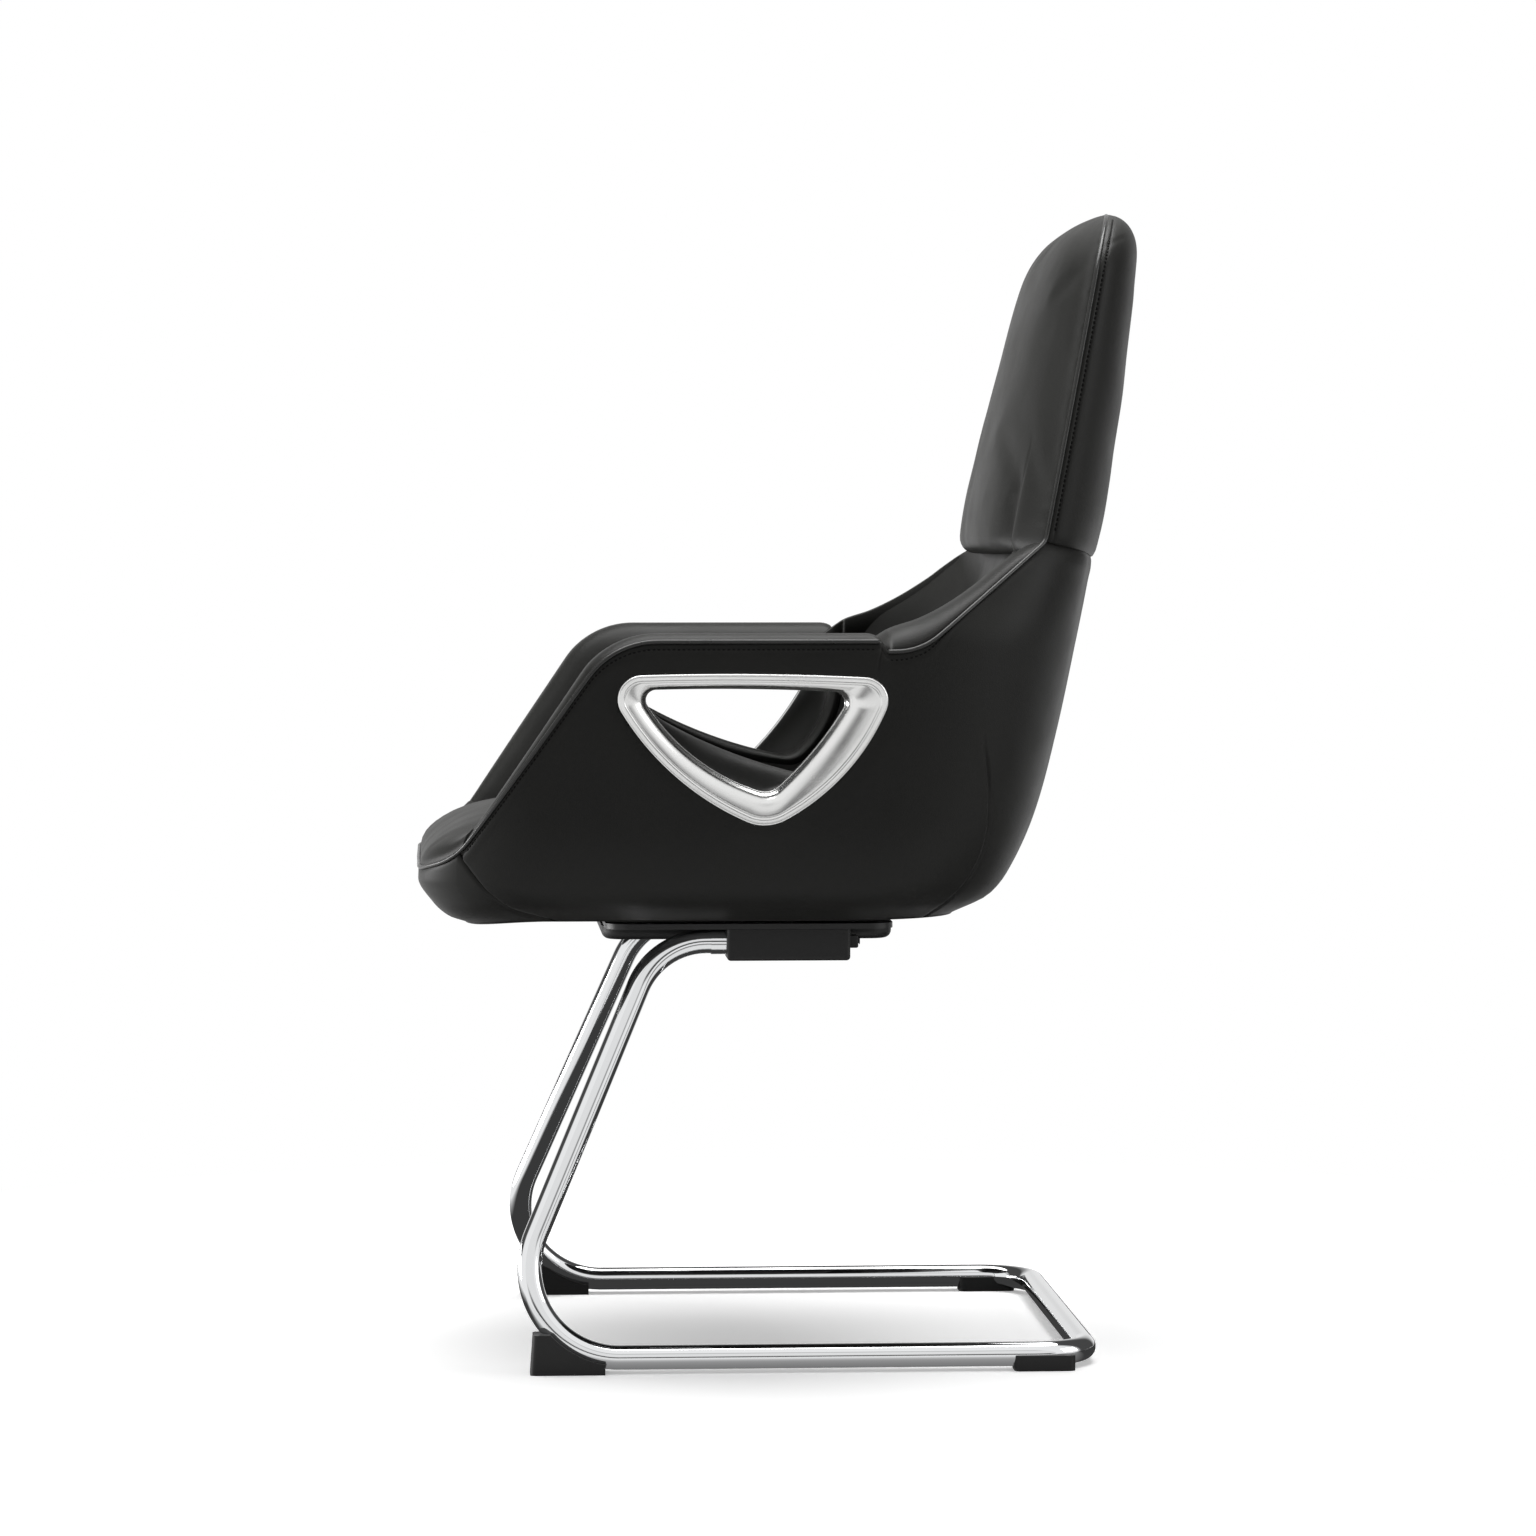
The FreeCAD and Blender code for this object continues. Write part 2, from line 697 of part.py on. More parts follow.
def socket_cover():
    # Moulded sleeve round the block, open at the top, with a stepped tail.
    half = block_width / 2 + fit + cover_wall
    y0 = block_front - cover_nose
    y1 = block_rear + cover_nose
    z0 = block_bottom - fit - cover_wall
    z1 = plate_bottom - fit
    shell = box(socket_x - half, socket_x + half, y0, y1, z0, z1)
    rounds = [k for k in shell.Edges if k.BoundBox.ZMax < z0 + slip] + upright_edges(shell)
    shell = shell.makeFillet(cover_round, rounds)
    inner = half - cover_wall
    pocket = box(socket_x - inner, socket_x + inner, block_front - fit, block_rear + fit, z0 + cover_wall,
                 plate_top)
    tail = box(socket_x - tail_half, socket_x + tail_half, y1, y1 + cover_tail, socket_z - tail_under,
               socket_z + tail_over)
    tail = tail.makeFillet(tail_round, [k for k in tail.Edges if k.BoundBox.YMin > y1 + slip])
    shell = shell.fuse(tail).cut(pocket)
    mouth = Vector(socket_x, y0, socket_z)
    shell = shell.cut(rod(tube_diameter + 2 * fit, block_length / 2, mouth, Vector(0, 1, 0)))
    for drill in socket_drills(2 * socket_bolt_diameter):
        shell = shell.cut(drill)
    return shell.cut(cover_screw_rod(2 * slip))


def cover_screw_rod(extra):
    start = Vector(socket_x, block_rear - cover_screw_grip - extra, socket_z)
    return rod(cover_screw_diameter + extra, cutter, start, Vector(0, 1, 0))


def cover_screws():
    start = block_rear - cover_screw_grip
    end = block_rear + cover_nose + cover_tail
    shank = rod(cover_screw_diameter, end - start, Vector(socket_x, start, socket_z), Vector(0, 1, 0))
    head = Part.makeCone(cover_screw_diameter, cover_screw_diameter / 2, cover_screw_diameter / 2,
                         Vector(socket_x, end + cover_screw_diameter / 2, socket_z), Vector(0, -1, 0))
    return Part.makeCompound(both_sides(shank.fuse(head)))


def hexagon(radius, x, y, z):
    corners = [Vector(x + radius * math.cos(k * math.pi / 3), y + radius * math.sin(k * math.pi / 3), z)
               for k in range(7)]
    return Part.Face(Part.makePolygon(corners))


def socket_bolts():
    bolts = []
    low = block_bottom - bolt_head_height
    for y in socket_bolt_spots():
        head = rod(bolt_head_ratio * socket_bolt_diameter, bolt_head_height, Vector(socket_x, y, low), Vector(0, 0, 1))
        head = head.cut(hexagon(bolt_key_radius, socket_x, y, low).extrude(Vector(0, 0, bolt_key_depth)))
        grip = Vector(socket_x, y, block_bottom)
        shank = rod(socket_bolt_diameter, plate_top - block_bottom, grip, Vector(0, 0, 1))
        bolts += both_sides(head.fuse(shank))
    return Part.makeCompound(bolts)


def plate_bolt_spots():
    xs = (-bolt_pitch_x / 2, bolt_pitch_x / 2)
    ys = (plate_middle - bolt_pitch_y / 2, plate_middle + bolt_pitch_y / 2)
    return [(x, y) for x in xs for y in ys]


def mounting_plate():
    plate = rounded_slab(plate_width / 2, plate_front, plate_front + plate_length, plate_bottom, plate_thickness,
                         plate_corner)
    for x, y in plate_bolt_spots():
        plate = plate.cut(upright_drill(plate_bolt_diameter + plate_bolt_clearance, x, y))
    for drill in socket_drills(socket_bolt_diameter + 2 * slip):
        plate = plate.cut(drill).cut(mirrored(drill))
    for x, y in shroud_screw_spots():
        plate = plate.cut(upright_drill(shroud_screw_diameter + 2 * slip, x, y))
    window = rounded_slab(window_half_x, plate_middle - window_half_y, plate_middle + window_half_y, plate_bottom,
                          plate_thickness, window_corner)
    return plate.cut(window)


def upright_drill(diameter, x, y):
    # Hole right through the plate, the board and what lies between them.
    return rod(diameter, cutter, Vector(x, y, plate_top - cutter / 2), Vector(0, 0, 1))


def plate_shroud():
    # Shallow moulded pan under the plate, its lower edge rounded.
    half = socket_x - block_width / 2 - cover_wall - shroud_gap
    z0 = plate_bottom - fit - shroud_depth
    y0 = plate_front - shroud_overhang
    y1 = plate_front + plate_length + shroud_overhang
    pan = rounded_slab(half, y0, y1, z0, shroud_depth, shroud_corner)
    rim = [k for k in pan.Edges if k.BoundBox.ZMax < z0 + slip]
    pan = pan.makeFillet(shroud_edge, rim)
    inside = rounded_slab(half - shroud_wall, y0 + shroud_wall, y1 - shroud_wall, z0 + shroud_wall, shroud_depth,
                          shroud_corner - shroud_wall)
    pan = pan.cut(inside)
    floor = z0 + shroud_wall / 2
    for x in (-half / 2, 0, half / 2):
        rib = box(x - shroud_rib / 2, x + shroud_rib / 2, y0 + shroud_rib_inset, y1 - shroud_rib_inset, floor,
                  plate_bottom - shroud_rib_drop)
        pan = pan.fuse(rib)
    for x, y in shroud_screw_spots():
        pan = pan.fuse(rod(shroud_boss, z0 + shroud_depth - floor, Vector(x, y, floor), Vector(0, 0, 1)))
    for x, y in shroud_screw_spots():
        pan = pan.cut(upright_drill(shroud_screw_diameter + 2 * slip, x, y))
        pan = pan.cut(rod(2 * shroud_screw_diameter, shroud_wall, Vector(x, y, z0), Vector(0, 0, 1)))
    return pan.removeSplitter()


def shroud_screw_spots():
    ys = (plate_middle - shroud_screw_y, plate_middle + shroud_screw_y)
    return [(x, y) for x in (-shroud_screw_x, shroud_screw_x) for y in ys]


def shroud_screws():
    screws = []
    seat = plate_bottom - fit - shroud_depth + shroud_wall
    height = shroud_screw_diameter / 2
    for x, y in shroud_screw_spots():
        head = rod(bolt_head_ratio * shroud_screw_diameter, height, Vector(x, y, seat - height), Vector(0, 0, 1))
        shank = rod(shroud_screw_diameter, plate_top - fit - seat, Vector(x, y, seat), Vector(0, 0, 1))
        screws.append(head.fuse(shank))
    return Part.makeCompound(screws)


def plate_bolts():
    bolts = []
    end = board_top - 2 * tee_flange_thickness
    for x, y in plate_bolt_spots():
        head = hexagon(hex_radius, x, y, plate_bottom - hex_height).extrude(Vector(0, 0, hex_height))
        shank = rod(plate_bolt_diameter, end - plate_bottom, Vector(x, y, plate_bottom), Vector(0, 0, 1))
        bolts.append(head.fuse(shank))
    return Part.makeCompound(bolts)


def plate_spacers():
    rings = []
    for x, y in plate_bolt_spots():
        ring = rod(spacer_diameter, board_z - plate_top, Vector(x, y, plate_top), Vector(0, 0, 1))
        rings.append(ring.cut(upright_drill(plate_bolt_diameter + plate_bolt_clearance, x, y)))
    return Part.makeCompound(rings)


def tee_nuts():
    nuts = []
    seat = board_top - tee_flange_thickness
    for x, y in plate_bolt_spots():
        barrel = rod(tee_barrel, tee_depth, Vector(x, y, seat - tee_depth), Vector(0, 0, 1))
        flange = rod(tee_flange, tee_flange_thickness, Vector(x, y, seat), Vector(0, 0, 1))
        nuts.append(barrel.fuse(flange).cut(upright_drill(plate_bolt_diameter + 2 * slip, x, y)))
    return Part.makeCompound(nuts)


def core_screw_spots():
    # Places along the board edge where screws tie the arm cores to it.
    return [nose_y + setback for setback in core_screw_setbacks]


def core_screw(y, extra):
    z = board_z + seat_board_thickness / 2
    start = Vector(half_shell - side_inset(z - shell_z) - core_out - core_screw_sink, y, z)
    shank = rod(core_screw_diameter + extra, core_screw_length, start, Vector(-1, 0, 0))
    head = rod(core_screw_head + extra, core_screw_head_height + extra / 2, start, Vector(-1, 0, 0))
    return shank.fuse(head)


def core_screws():
    screws = []
    for y in core_screw_spots():
        screws += both_sides(core_screw(y, 0))
    return Part.makeCompound(screws)


def drilled_for_core_screws(solid):
    for y in core_screw_spots():
        for drill in both_sides(core_screw(y, 2 * slip)):
            solid = solid.cut(drill)
    return solid


def seat_board(tubs):
    slab = box(-half_shell, half_shell, nose_y, back_y, board_z, board_top)
    board = tubs["lining"].common(slab)
    for x, y in plate_bolt_spots():
        board = board.cut(upright_drill(tee_barrel + 2 * slip, x, y))
        seat = Vector(x, y, board_top - tee_flange_thickness)
        board = board.cut(rod(tee_flange + 2 * slip, tee_flange_thickness, seat, Vector(0, 0, 1)))
    return drilled_for_core_screws(board)


def dust_cover(tubs):
    z0 = shell_z + fit
    slab = box(-half_shell, half_shell, nose_y, back_y, z0, z0 + dust_cover_thickness)
    sheet = tubs["dust"].common(slab)
    for x, y in plate_bolt_spots():
        sheet = sheet.cut(upright_drill(spacer_diameter + 2 * fit, x, y))
    return sheet


def strip_section(x, y, z, angle, width, low, high, corner, crown):
    # Flat-bottomed, round-shouldered section standing on the side-view line at one point.
    n = Vector(0, -math.sin(angle), math.cos(angle))
    base = Vector(x, y, z)
    half = width / 2
    c = corner * math.sqrt(0.5)
    shoulder = high - crown

    def at(u, v):
        return base + Vector(u, 0, 0) + n * v
    edges = [line(at(-half, low), at(half, low)), line(at(half, low), at(half, shoulder - corner))]
    edges.append(arc(at(half, shoulder - corner), at(half - corner + c, shoulder - corner + c),
                     at(half - corner, shoulder)))
    edges.append(arc(at(half - corner, shoulder), at(0, high), at(corner - half, shoulder)))
    edges.append(arc(at(corner - half, shoulder), at(corner - half - c, shoulder - corner + c),
                     at(-half, shoulder - corner)))
    edges.append(line(at(-half, shoulder - corner), at(-half, low)))
    return Part.Wire(edges)


def arm_line(share):
    # Point and direction on the arm piping; 0 at the foot of the slope, 1 at the rear end.
    slope_length = math.hypot(arm_corner[0] - arm_foot[0], arm_corner[1] - arm_foot[1])
    reach = arm_bend_radius * math.tan(arm_slope / 2)
    straight = slope_length - reach
    bend = arm_bend_radius * arm_slope
    flat = arm_end_y - arm_corner[0] - reach
    run = share * (straight + bend + flat)
    if run < straight:
        return (arm_foot[0] + run * math.cos(arm_slope), arm_foot[1] + run * math.sin(arm_slope), arm_slope)
    run -= straight
    hub = (arm_corner[0] + reach, arm_z - arm_bend_radius)
    if run < bend:
        angle = arm_slope - run / arm_bend_radius
        return (hub[0] - arm_bend_radius * math.sin(angle), hub[1] + arm_bend_radius * math.cos(angle), angle)
    return (hub[0] + run - bend, arm_z, 0.0)


# Width and depth of the arm strip along the arm, and of the wing roll along the wing
pad_width = smooth([(0, 0.35), (0.25, 1), (1, 1)])
pad_depth = smooth([(0, 0.5), (0.17, 1), (1, 1)])
roll_width = smooth([(0, 1), (0.5, 1), (1, 0.77)])
roll_height = smooth([(0, 0.55), (0.25, 1), (0.6, 1), (1, 0.68)])


def arm_pad(grow=0.0):
    # Boxed strip on the arm, narrow at the nose and full width along the top.
    wires = []
    for share in (0.02, 0.1, 0.2, 0.32, 0.42, 0.47, 0.52, 0.57, 0.62, 0.75, 0.88, 1.0):
        y, z, angle = arm_line(share)
        width = (lining_in + 2 * piping_gap) * pad_width(share)
        x = skin_x(y, z) - piping_gap - width / 2
        low = -arm_pad_depth * pad_depth(share)
        wires.append(strip_section(x, y, z, angle, width + 2 * grow, low - grow, arm_pad_crown + grow, arm_pad_edge,
                                   arm_pad_arch))
    return loft(wires)


def wing_line(share):
    # Point and direction on the wing piping; 0 behind the arm strip, 1 near the head.
    reach = wing_bend_radius * math.tan(wing_slope / 2)
    start = arm_end_y + wing_start
    flat = wing_foot[0] - reach - start
    bend = wing_bend_radius * wing_slope
    length = math.hypot(wing_top[0] - wing_foot[0], wing_top[1] - wing_foot[1])
    run = share * (flat + bend + length - reach)
    if run < flat:
        return (start + run, wing_foot[1], 0.0)
    run -= flat
    if run < bend:
        angle = run / wing_bend_radius
        return (wing_foot[0] - reach + wing_bend_radius * math.sin(angle),
                wing_foot[1] + wing_bend_radius * (1 - math.cos(angle)), angle)
    run -= bend
    return (wing_foot[0] + (reach + run) * math.cos(wing_slope),
            wing_foot[1] + (reach + run) * math.sin(wing_slope), wing_slope)


def wing_roll(grow=0.0):
    # Soft roll over the top edge of the wing, fading out under the head.
    wires = []
    for share in (0.0, 0.12, 0.25, 0.4, 0.55, 0.7, 0.82, 0.88):
        y, z, angle = wing_line(share)
        width = (lining_in - 2 * piping_gap) * roll_width(share)
        high = wing_roll_height * roll_height(share)
        x = skin_x(y, z) - piping_gap - width / 2
        corner = 0.9 * (high - 2 * wing_roll_arch)
        wires.append(strip_section(x, y, z, angle, width + 2 * grow, -grow, high + grow, corner, wing_roll_arch))
    return loft(wires)


def hole_core(grow):
    # Solid that fills the arm opening and stands out beyond both faces.
    outer = grown(ring_inner, grow)
    inner = grown(hole_inner, grow * 0.65)
    depths = [(cutter, outer), (-ring_collar, outer), (-lining_in, inner), (-lining_in - cutter, inner)]
    wires = [three_corner_wire(outline, depth) for depth, outline in depths]
    return on_left_arm(Part.makeLoft(wires, True, True))


def arm_ring():
    # Polished bezel: bevelled flange, dished face and a collar into the opening.
    rim = [(0.0, 0.0), (ring_flange - ring_bevel, 0.0), (ring_flange, -ring_bevel)]
    flange = Part.makeLoft([three_corner_wire(grown(ring_outer, d), n) for n, d in rim], True, True)
    sleeve = Part.Face(three_corner_wire(grown(ring_inner, ring_collar_wall), -ring_collar))
    solid = flange.fuse(sleeve.extrude(Vector(0, 0, ring_collar)))
    lip = grown(ring_outer, -ring_lip)
    wires = [three_corner_wire(between(lip, ring_inner, t), n) for n, t in ring_dish]
    tool = Part.makeLoft(wires, True, True)
    return on_left_arm(solid.cut(tool).removeSplitter())


def ring_pocket():
    face = Part.Face(three_corner_wire(grown(ring_outer, fit), -fit))
    return on_left_arm(face.extrude(Vector(0, 0, cutter)))


def ring_stud(spot, extra):
    return on_left_arm(rod(stud_diameter + extra, stud_length, Vector(spot[0], spot[1], 0), Vector(0, 0, -1)))


def ring_studs():
    return Part.makeCompound([s for spot in stud_spots for s in both_sides(ring_stud(spot, 0))])


def opening_liner():
    # Padded sleeve through the arm, between the ring and the inner face.
    return hole_core(ring_collar_wall).cut(hole_core(0.0))


def head_section_widths(z):
    share = (z - head_z) / back_head_height
    share = min(max(share, 0.0), 1.0)
    width = head_half_width + (head_top_half_width - head_half_width) * share ** 1.6
    return width * (head_top_share + (1 - head_top_share) * top_round(z) ** 0.85)


back_head_height = back_height - head_seam_height


def top_round(z):
    # Falls from 1 to nearly 0 over the rounded top of the head.
    t = 0.976 * (z - (top_z - head_round)) / head_round
    return math.sqrt(max(1.0 - t * t, 0.0)) if t > 0 else 1.0


def head_piping_y(z):
    return head_y + head_lean * (z - head_z) + piping_sweep * (1.0 - top_round(z))


def head_levels(low):
    straight = [low + (top_z - head_round - low) * k / 5 for k in range(6)]
    rounded = [top_z - head_round * (1 - k) for k in (0.3, 0.57, 0.8, 0.93, 1.0)]
    return straight + rounded


# How full the channel and the bolster stand in front of the piping, by share of the head's height
crease_fill = smooth([(0, 0.6), (0.35, 0.53), (1, 0.53)])
bolster_fill = smooth([(0, 0.55), (0.35, 0.29), (1, 0.29)])


def upper_back_cushion(low):
    # Front of the head: centre panel, two side bolsters and the channels between them.
    wires = []
    for z in head_levels(low):
        share = min(max((z - low) / (top_z - low), 0.0), 1.0)
        round_off = top_round(z)
        foot = 1.0 - head_foot_tuck * max(0.0, 1.0 - (z - low) / head_foot_round)
        w = head_section_widths(z)
        y = head_piping_y(z)
        depth = (front_pad_foot + (front_pad_top - front_pad_foot) * share) * round_off * foot
        front = Vector(0, y - depth, z)
        left = Vector(channel_share * w, y - depth * crease_fill(share), z)
        bulge = Vector(bolster_share * w, y - depth * bolster_fill(share), z)
        edge = Vector(w, y - slip, z)
        edges = [arc(edge, bulge, left), arc(left, front, flip(left)),
                 arc(flip(left), flip(bulge), flip(edge))]
        edges.append(line(flip(edge), edge))
        wires.append(Part.Wire(edges))
    return loft(wires)


def head_rear_y(z):
    share = min(max((z - head_z) / back_head_height, 0.0), 1.0)
    depth = rear_pad_foot + (rear_pad_top - rear_pad_foot) * share
    return head_piping_y(z) + depth * (head_top_share + (1 - head_top_share) * top_round(z))


def rear_fall(share):
    # Super-ellipse of the head's rear: share of its depth left at a share of the half width.
    return math.sqrt(1 - share ** shell_power)


def upper_back_shell(low):
    # Rear of the head, a shallow bowl behind the piping.
    wires = []
    for z in head_levels(low):
        w = head_section_widths(z)
        y0 = head_piping_y(z) + fit
        y1 = head_rear_y(z)
        edge = Vector(w, y0, z)
        corner = Vector(shell_corner_share * w, y0 + (y1 - y0) * rear_fall(shell_corner_share), z)
        rear = Vector(shell_rear_share * w, y0 + (y1 - y0) * rear_fall(shell_rear_share), z)
        middle = Vector(0, y1, z)
        edges = [line(flip(edge), edge), arc(edge, corner, rear), arc(rear, middle, flip(rear))]
        edges.append(arc(flip(rear), flip(corner), flip(edge)))
        wires.append(Part.Wire(edges))
    bowl = loft(wires)
    far = 2 * cutter
    cut = [(head_y - far, head_z + head_seam_fall * far), (head_y + far, head_z - head_seam_fall * far),
           (head_y + far, head_z - far), (head_y - far, head_z - far)]
    return bowl.cut(polygon_prism(cut, -half_shell, half_shell))


def upper_board(grow=0.0):
    # Bent plywood panel inside the rear of the head.
    low = head_z + upper_board_low
    high = top_z - head_round - upper_board_high
    levels = [low + (high - low) * k / 4 for k in range(5)]
    rear = [Vector(0, head_rear_y(z) - upper_board_cover + grow, z) for z in levels]
    front = [Vector(0, p.y - upper_board_thickness - 2 * grow, p.z) for p in reversed(rear)]
    curve_a = Part.BSplineCurve()
    curve_a.interpolate(rear)
    curve_b = Part.BSplineCurve()
    curve_b.interpolate(front)
    edges = [curve_a.toShape(), line(rear[-1], front[0]), curve_b.toShape(), line(front[-1], rear[0])]
    half = head_top_half_width - upper_board_margin + grow
    return side_prism(edges, -half, half)


def strap_set_in(z):
    # How far the crowned board falls away at the outer edge of a strap.
    half, crown, turn = rear_shape(z - shell_z)
    radius = half / math.sin(turn) - core_in
    outer = (strap_spacing + strap_width) / 2
    return radius - math.sqrt(radius ** 2 - outer ** 2)


def back_strap(grow=0.0):
    # Bent steel bar that ties the upper board to the lower one.
    lower = head_z - strap_length * strap_share
    middle = head_z + strap_bend
    upper = lower + strap_length
    low_y = back_y - rear_inset(lower - shell_z) - core_in - 2 * fit - strap_set_in(lower)
    spots = [(low_y, lower - grow)]
    for z in (middle, upper):
        face = head_rear_y(z) - upper_board_cover - upper_board_thickness - 2 * fit
        spots.append((face, z + (grow if z == upper else 0)))
    rear = [(y + grow, z) for y, z in spots]
    front = [(y - strap_thickness - grow, z) for y, z in reversed(spots)]
    half = strap_width / 2 + grow
    return polygon_prism(rear + front, strap_spacing / 2 - half, strap_spacing / 2 + half)


def seat_cushion(tubs, outline, pads):
    # Crowned cushion with a rolled front, cut to the arms at its sides.
    crest_y = nose_y + crest_setback
    nose_z = shell_z + nose_height
    rise = shell_z + seat_crest - nose_z
    low = board_top + fit
    sections = []
    for angle in (8, 22, 38, 55, 72, 90):
        a = math.radians(angle)
        sections.append((crest_y - (crest_setback - fit) * math.cos(a), nose_z + rise * math.sin(a)))
    rear_y = back_y - seat_rear_setback
    for share in (0.12, 0.3, 0.5, 0.75, 1.0):
        drop = (seat_crest - seat_rear_height) * (3 * share ** 2 - 2 * share ** 3)
        sections.append((crest_y + (rear_y - crest_y) * share, shell_z + seat_crest - drop))
    wires = []
    for y, top in sections:
        half = skin_x(y, nose_z) - seat_side_gap
        crown = seat_crown * min(1.0, (top - nose_z) / seat_crown_rise)
        side = max(top - crown, low + seat_side_least)
        a = Vector(half, y, low)
        b = Vector(half, y, side)
        edges = [line(flip(a), a), line(a, b), arc(b, Vector(0, y, top), flip(b)), line(flip(b), flip(a))]
        wires.append(Part.Wire(edges))
    block = loft(wires)
    main = block.common(tubs["seat"])
    nose = block.common(tubs["nose"]).cut(outline)
    solid = main.fuse(nose).removeSplitter()
    for pad in pads:
        solid = solid.cut(pad)
    return solid


def build():
    nodes = {}
    path = frame_path()
    solid_tube = tube_along(path, tube_diameter)
    nodes["sled_frame"] = sled_frame(path)
    foot = front_foot(solid_tube)
    glide = rear_glide(solid_tube)
    pairs = {"front_foot": foot, "rear_glide": glide, "tube_ferrule": tube_ferrule(), "socket_block": socket_block(),
             "socket_cover": socket_cover()}
    nodes["foot_screws"] = foot_screws()
    nodes["cover_screws"] = cover_screws()
    nodes["socket_bolts"] = socket_bolts()
    nodes["mounting_plate"] = mounting_plate()
    nodes["plate_shroud"] = plate_shroud()
    nodes["shroud_screws"] = shroud_screws()
    nodes["plate_bolts"] = plate_bolts()
    nodes["plate_spacers"] = plate_spacers()
    nodes["tee_nuts"] = tee_nuts()
    nodes["core_screws"] = core_screws()

    tubs = {
        "skin": tub(0, 0, 0),
        "pad": tub(pad_in, pad_in, pad_in, foot=tub_foot),
        "core": tub(core_out, core_out, core_out),
        "core_in": tub(core_in, core_in, core_in, foot=tub_foot),
        "lining": tub(lining_out, lining_out, lining_out),
        "dust": tub(pad_in + fit, pad_in + fit, pad_in + fit),
        "cavity": tub(lining_in, core_out, 0, inner_back, cavity_corner, foot=tub_foot),
        "seat": tub(lining_in + fit, core_out + fit, fit, inner_back, cavity_corner),
        "nose": tub(piping_gap, piping_gap, piping_gap),
    }
    nodes["seat_board"] = seat_board(tubs)
    nodes["dust_cover"] = dust_cover(tubs)

    walls = wall_outline(arm_pad_depth + 4 * fit, 3 * fit, fit)
    low_walls = wall_outline(arm_pad_depth + 4 * fit + core_drop, 3 * fit + core_drop, fit)
    outer_wall = tubs["skin"].cut(tubs["pad"]).common(walls)
    core_wall = tubs["core"].cut(tubs["core_in"]).common(low_walls)
    lining_wall = tubs["lining"].cut(tubs["cavity"]).common(walls)
    above_board = box(-half_shell, half_shell, nose_y, back_y, board_top + fit, head_z + cutter)

    nodes["front_apron"] = outer_wall.common(front_zone(fit / 2))
    nodes["outer_back"] = outer_wall.common(rear_zone(fit / 2))
    side = outer_wall.cut(front_zone(-fit / 2)).cut(rear_zone(-fit / 2)).common(half_space(slip))
    board_half = rear_half(head_seam_height) - side_pad
    core = core_wall.common(half_space(board_half + fit)).common(
        box(0, half_shell, nose_y + core_setback, back_y, board_z, head_z + cutter))
    lower_board = core_wall.common(box(-board_half, board_half, 0, back_y, board_z, head_z - head_foot_drop))
    lining_all = lining_wall.common(above_board)
    high = head_z + cutter
    beside = box(slip, half_shell, nose_y + lining_setback, arm_end_y - fit / 2, shell_z, high)
    behind = box(-half_shell, half_shell, arm_end_y + fit / 2, back_y, shell_z, high)
    lining = lining_all.common(beside)
    lower_back = lining_all.common(behind)

    hole = hole_core(ring_collar_wall + sleeve_gap)
    pocket = ring_pocket()
    side = side.cut(hole).cut(pocket)
    core = core.cut(hole)
    lining = lining.cut(hole)
    for spot in stud_spots:
        drill = ring_stud(spot, 2 * slip)
        side = side.cut(drill)
        core = core.cut(drill)
    core = drilled_for_core_screws(core)
    nodes["lower_board"] = lower_board

    cushion_low = head_z - head_foot_drop
    under_head = box(-half_shell, half_shell, nose_y, head_y + fit, cushion_low - fit, head_z + cutter)
    lower_back = lower_back.cut(under_head)
    strap = back_strap()
    for envelope in both_sides(back_strap(fit)):
        lower_back = lower_back.cut(envelope)
    nodes["back_straps"] = Part.makeCompound(both_sides(strap))

    roll = wing_roll()
    wing_inside = half_shell - side_inset(head_seam_height) - lining_in - wing_margin
    wing_tool = wall_outline(0.0, -fit, -fit).common(half_space(wing_inside))
    head_front = upper_back_cushion(cushion_low)
    for tool in both_sides(wing_tool) + both_sides(wing_roll(fit)):
        head_front = head_front.cut(tool)
    head_rear = upper_back_shell(head_z - 2 * head_foot_drop)
    head_rear = head_rear.cut(upper_board(fit))
    for envelope in both_sides(back_strap(fit)):
        head_rear = head_rear.cut(envelope)
    nodes["upper_board"] = upper_board()
    nodes["upper_back_cushion"] = head_front
    nodes["upper_back_shell"] = head_rear
    nodes["lower_back_cushion"] = lower_back
    pairs["wing_roll"] = roll
    pairs["side_panel"] = side
    pairs["arm_core"] = core
    pairs["arm_lining"] = lining
    pairs["arm_pad"] = arm_pad()
    pairs["arm_ring"] = arm_ring()
    pairs["opening_liner"] = opening_liner().common(tubs["nose"]).cut(tubs["cavity"]).cut(
        on_left_arm(box(-half_shell, half_shell, -half_shell, half_shell, -ring_collar - fit, cutter)))
    nodes["ring_studs"] = ring_studs()
    nodes["seat_cushion"] = seat_cushion(tubs, wall_outline(0.0, 0.0, 0.0), both_sides(arm_pad(sleeve_gap)))
    for name, shape in pairs.items():
        nodes["left_" + name] = shape
        nodes["right_" + name] = mirrored(shape)
    return nodes


os.makedirs("parts", exist_ok=True)
for name, shape in build().items():
    shape.exportStep(os.path.join("parts", name + ".step"))
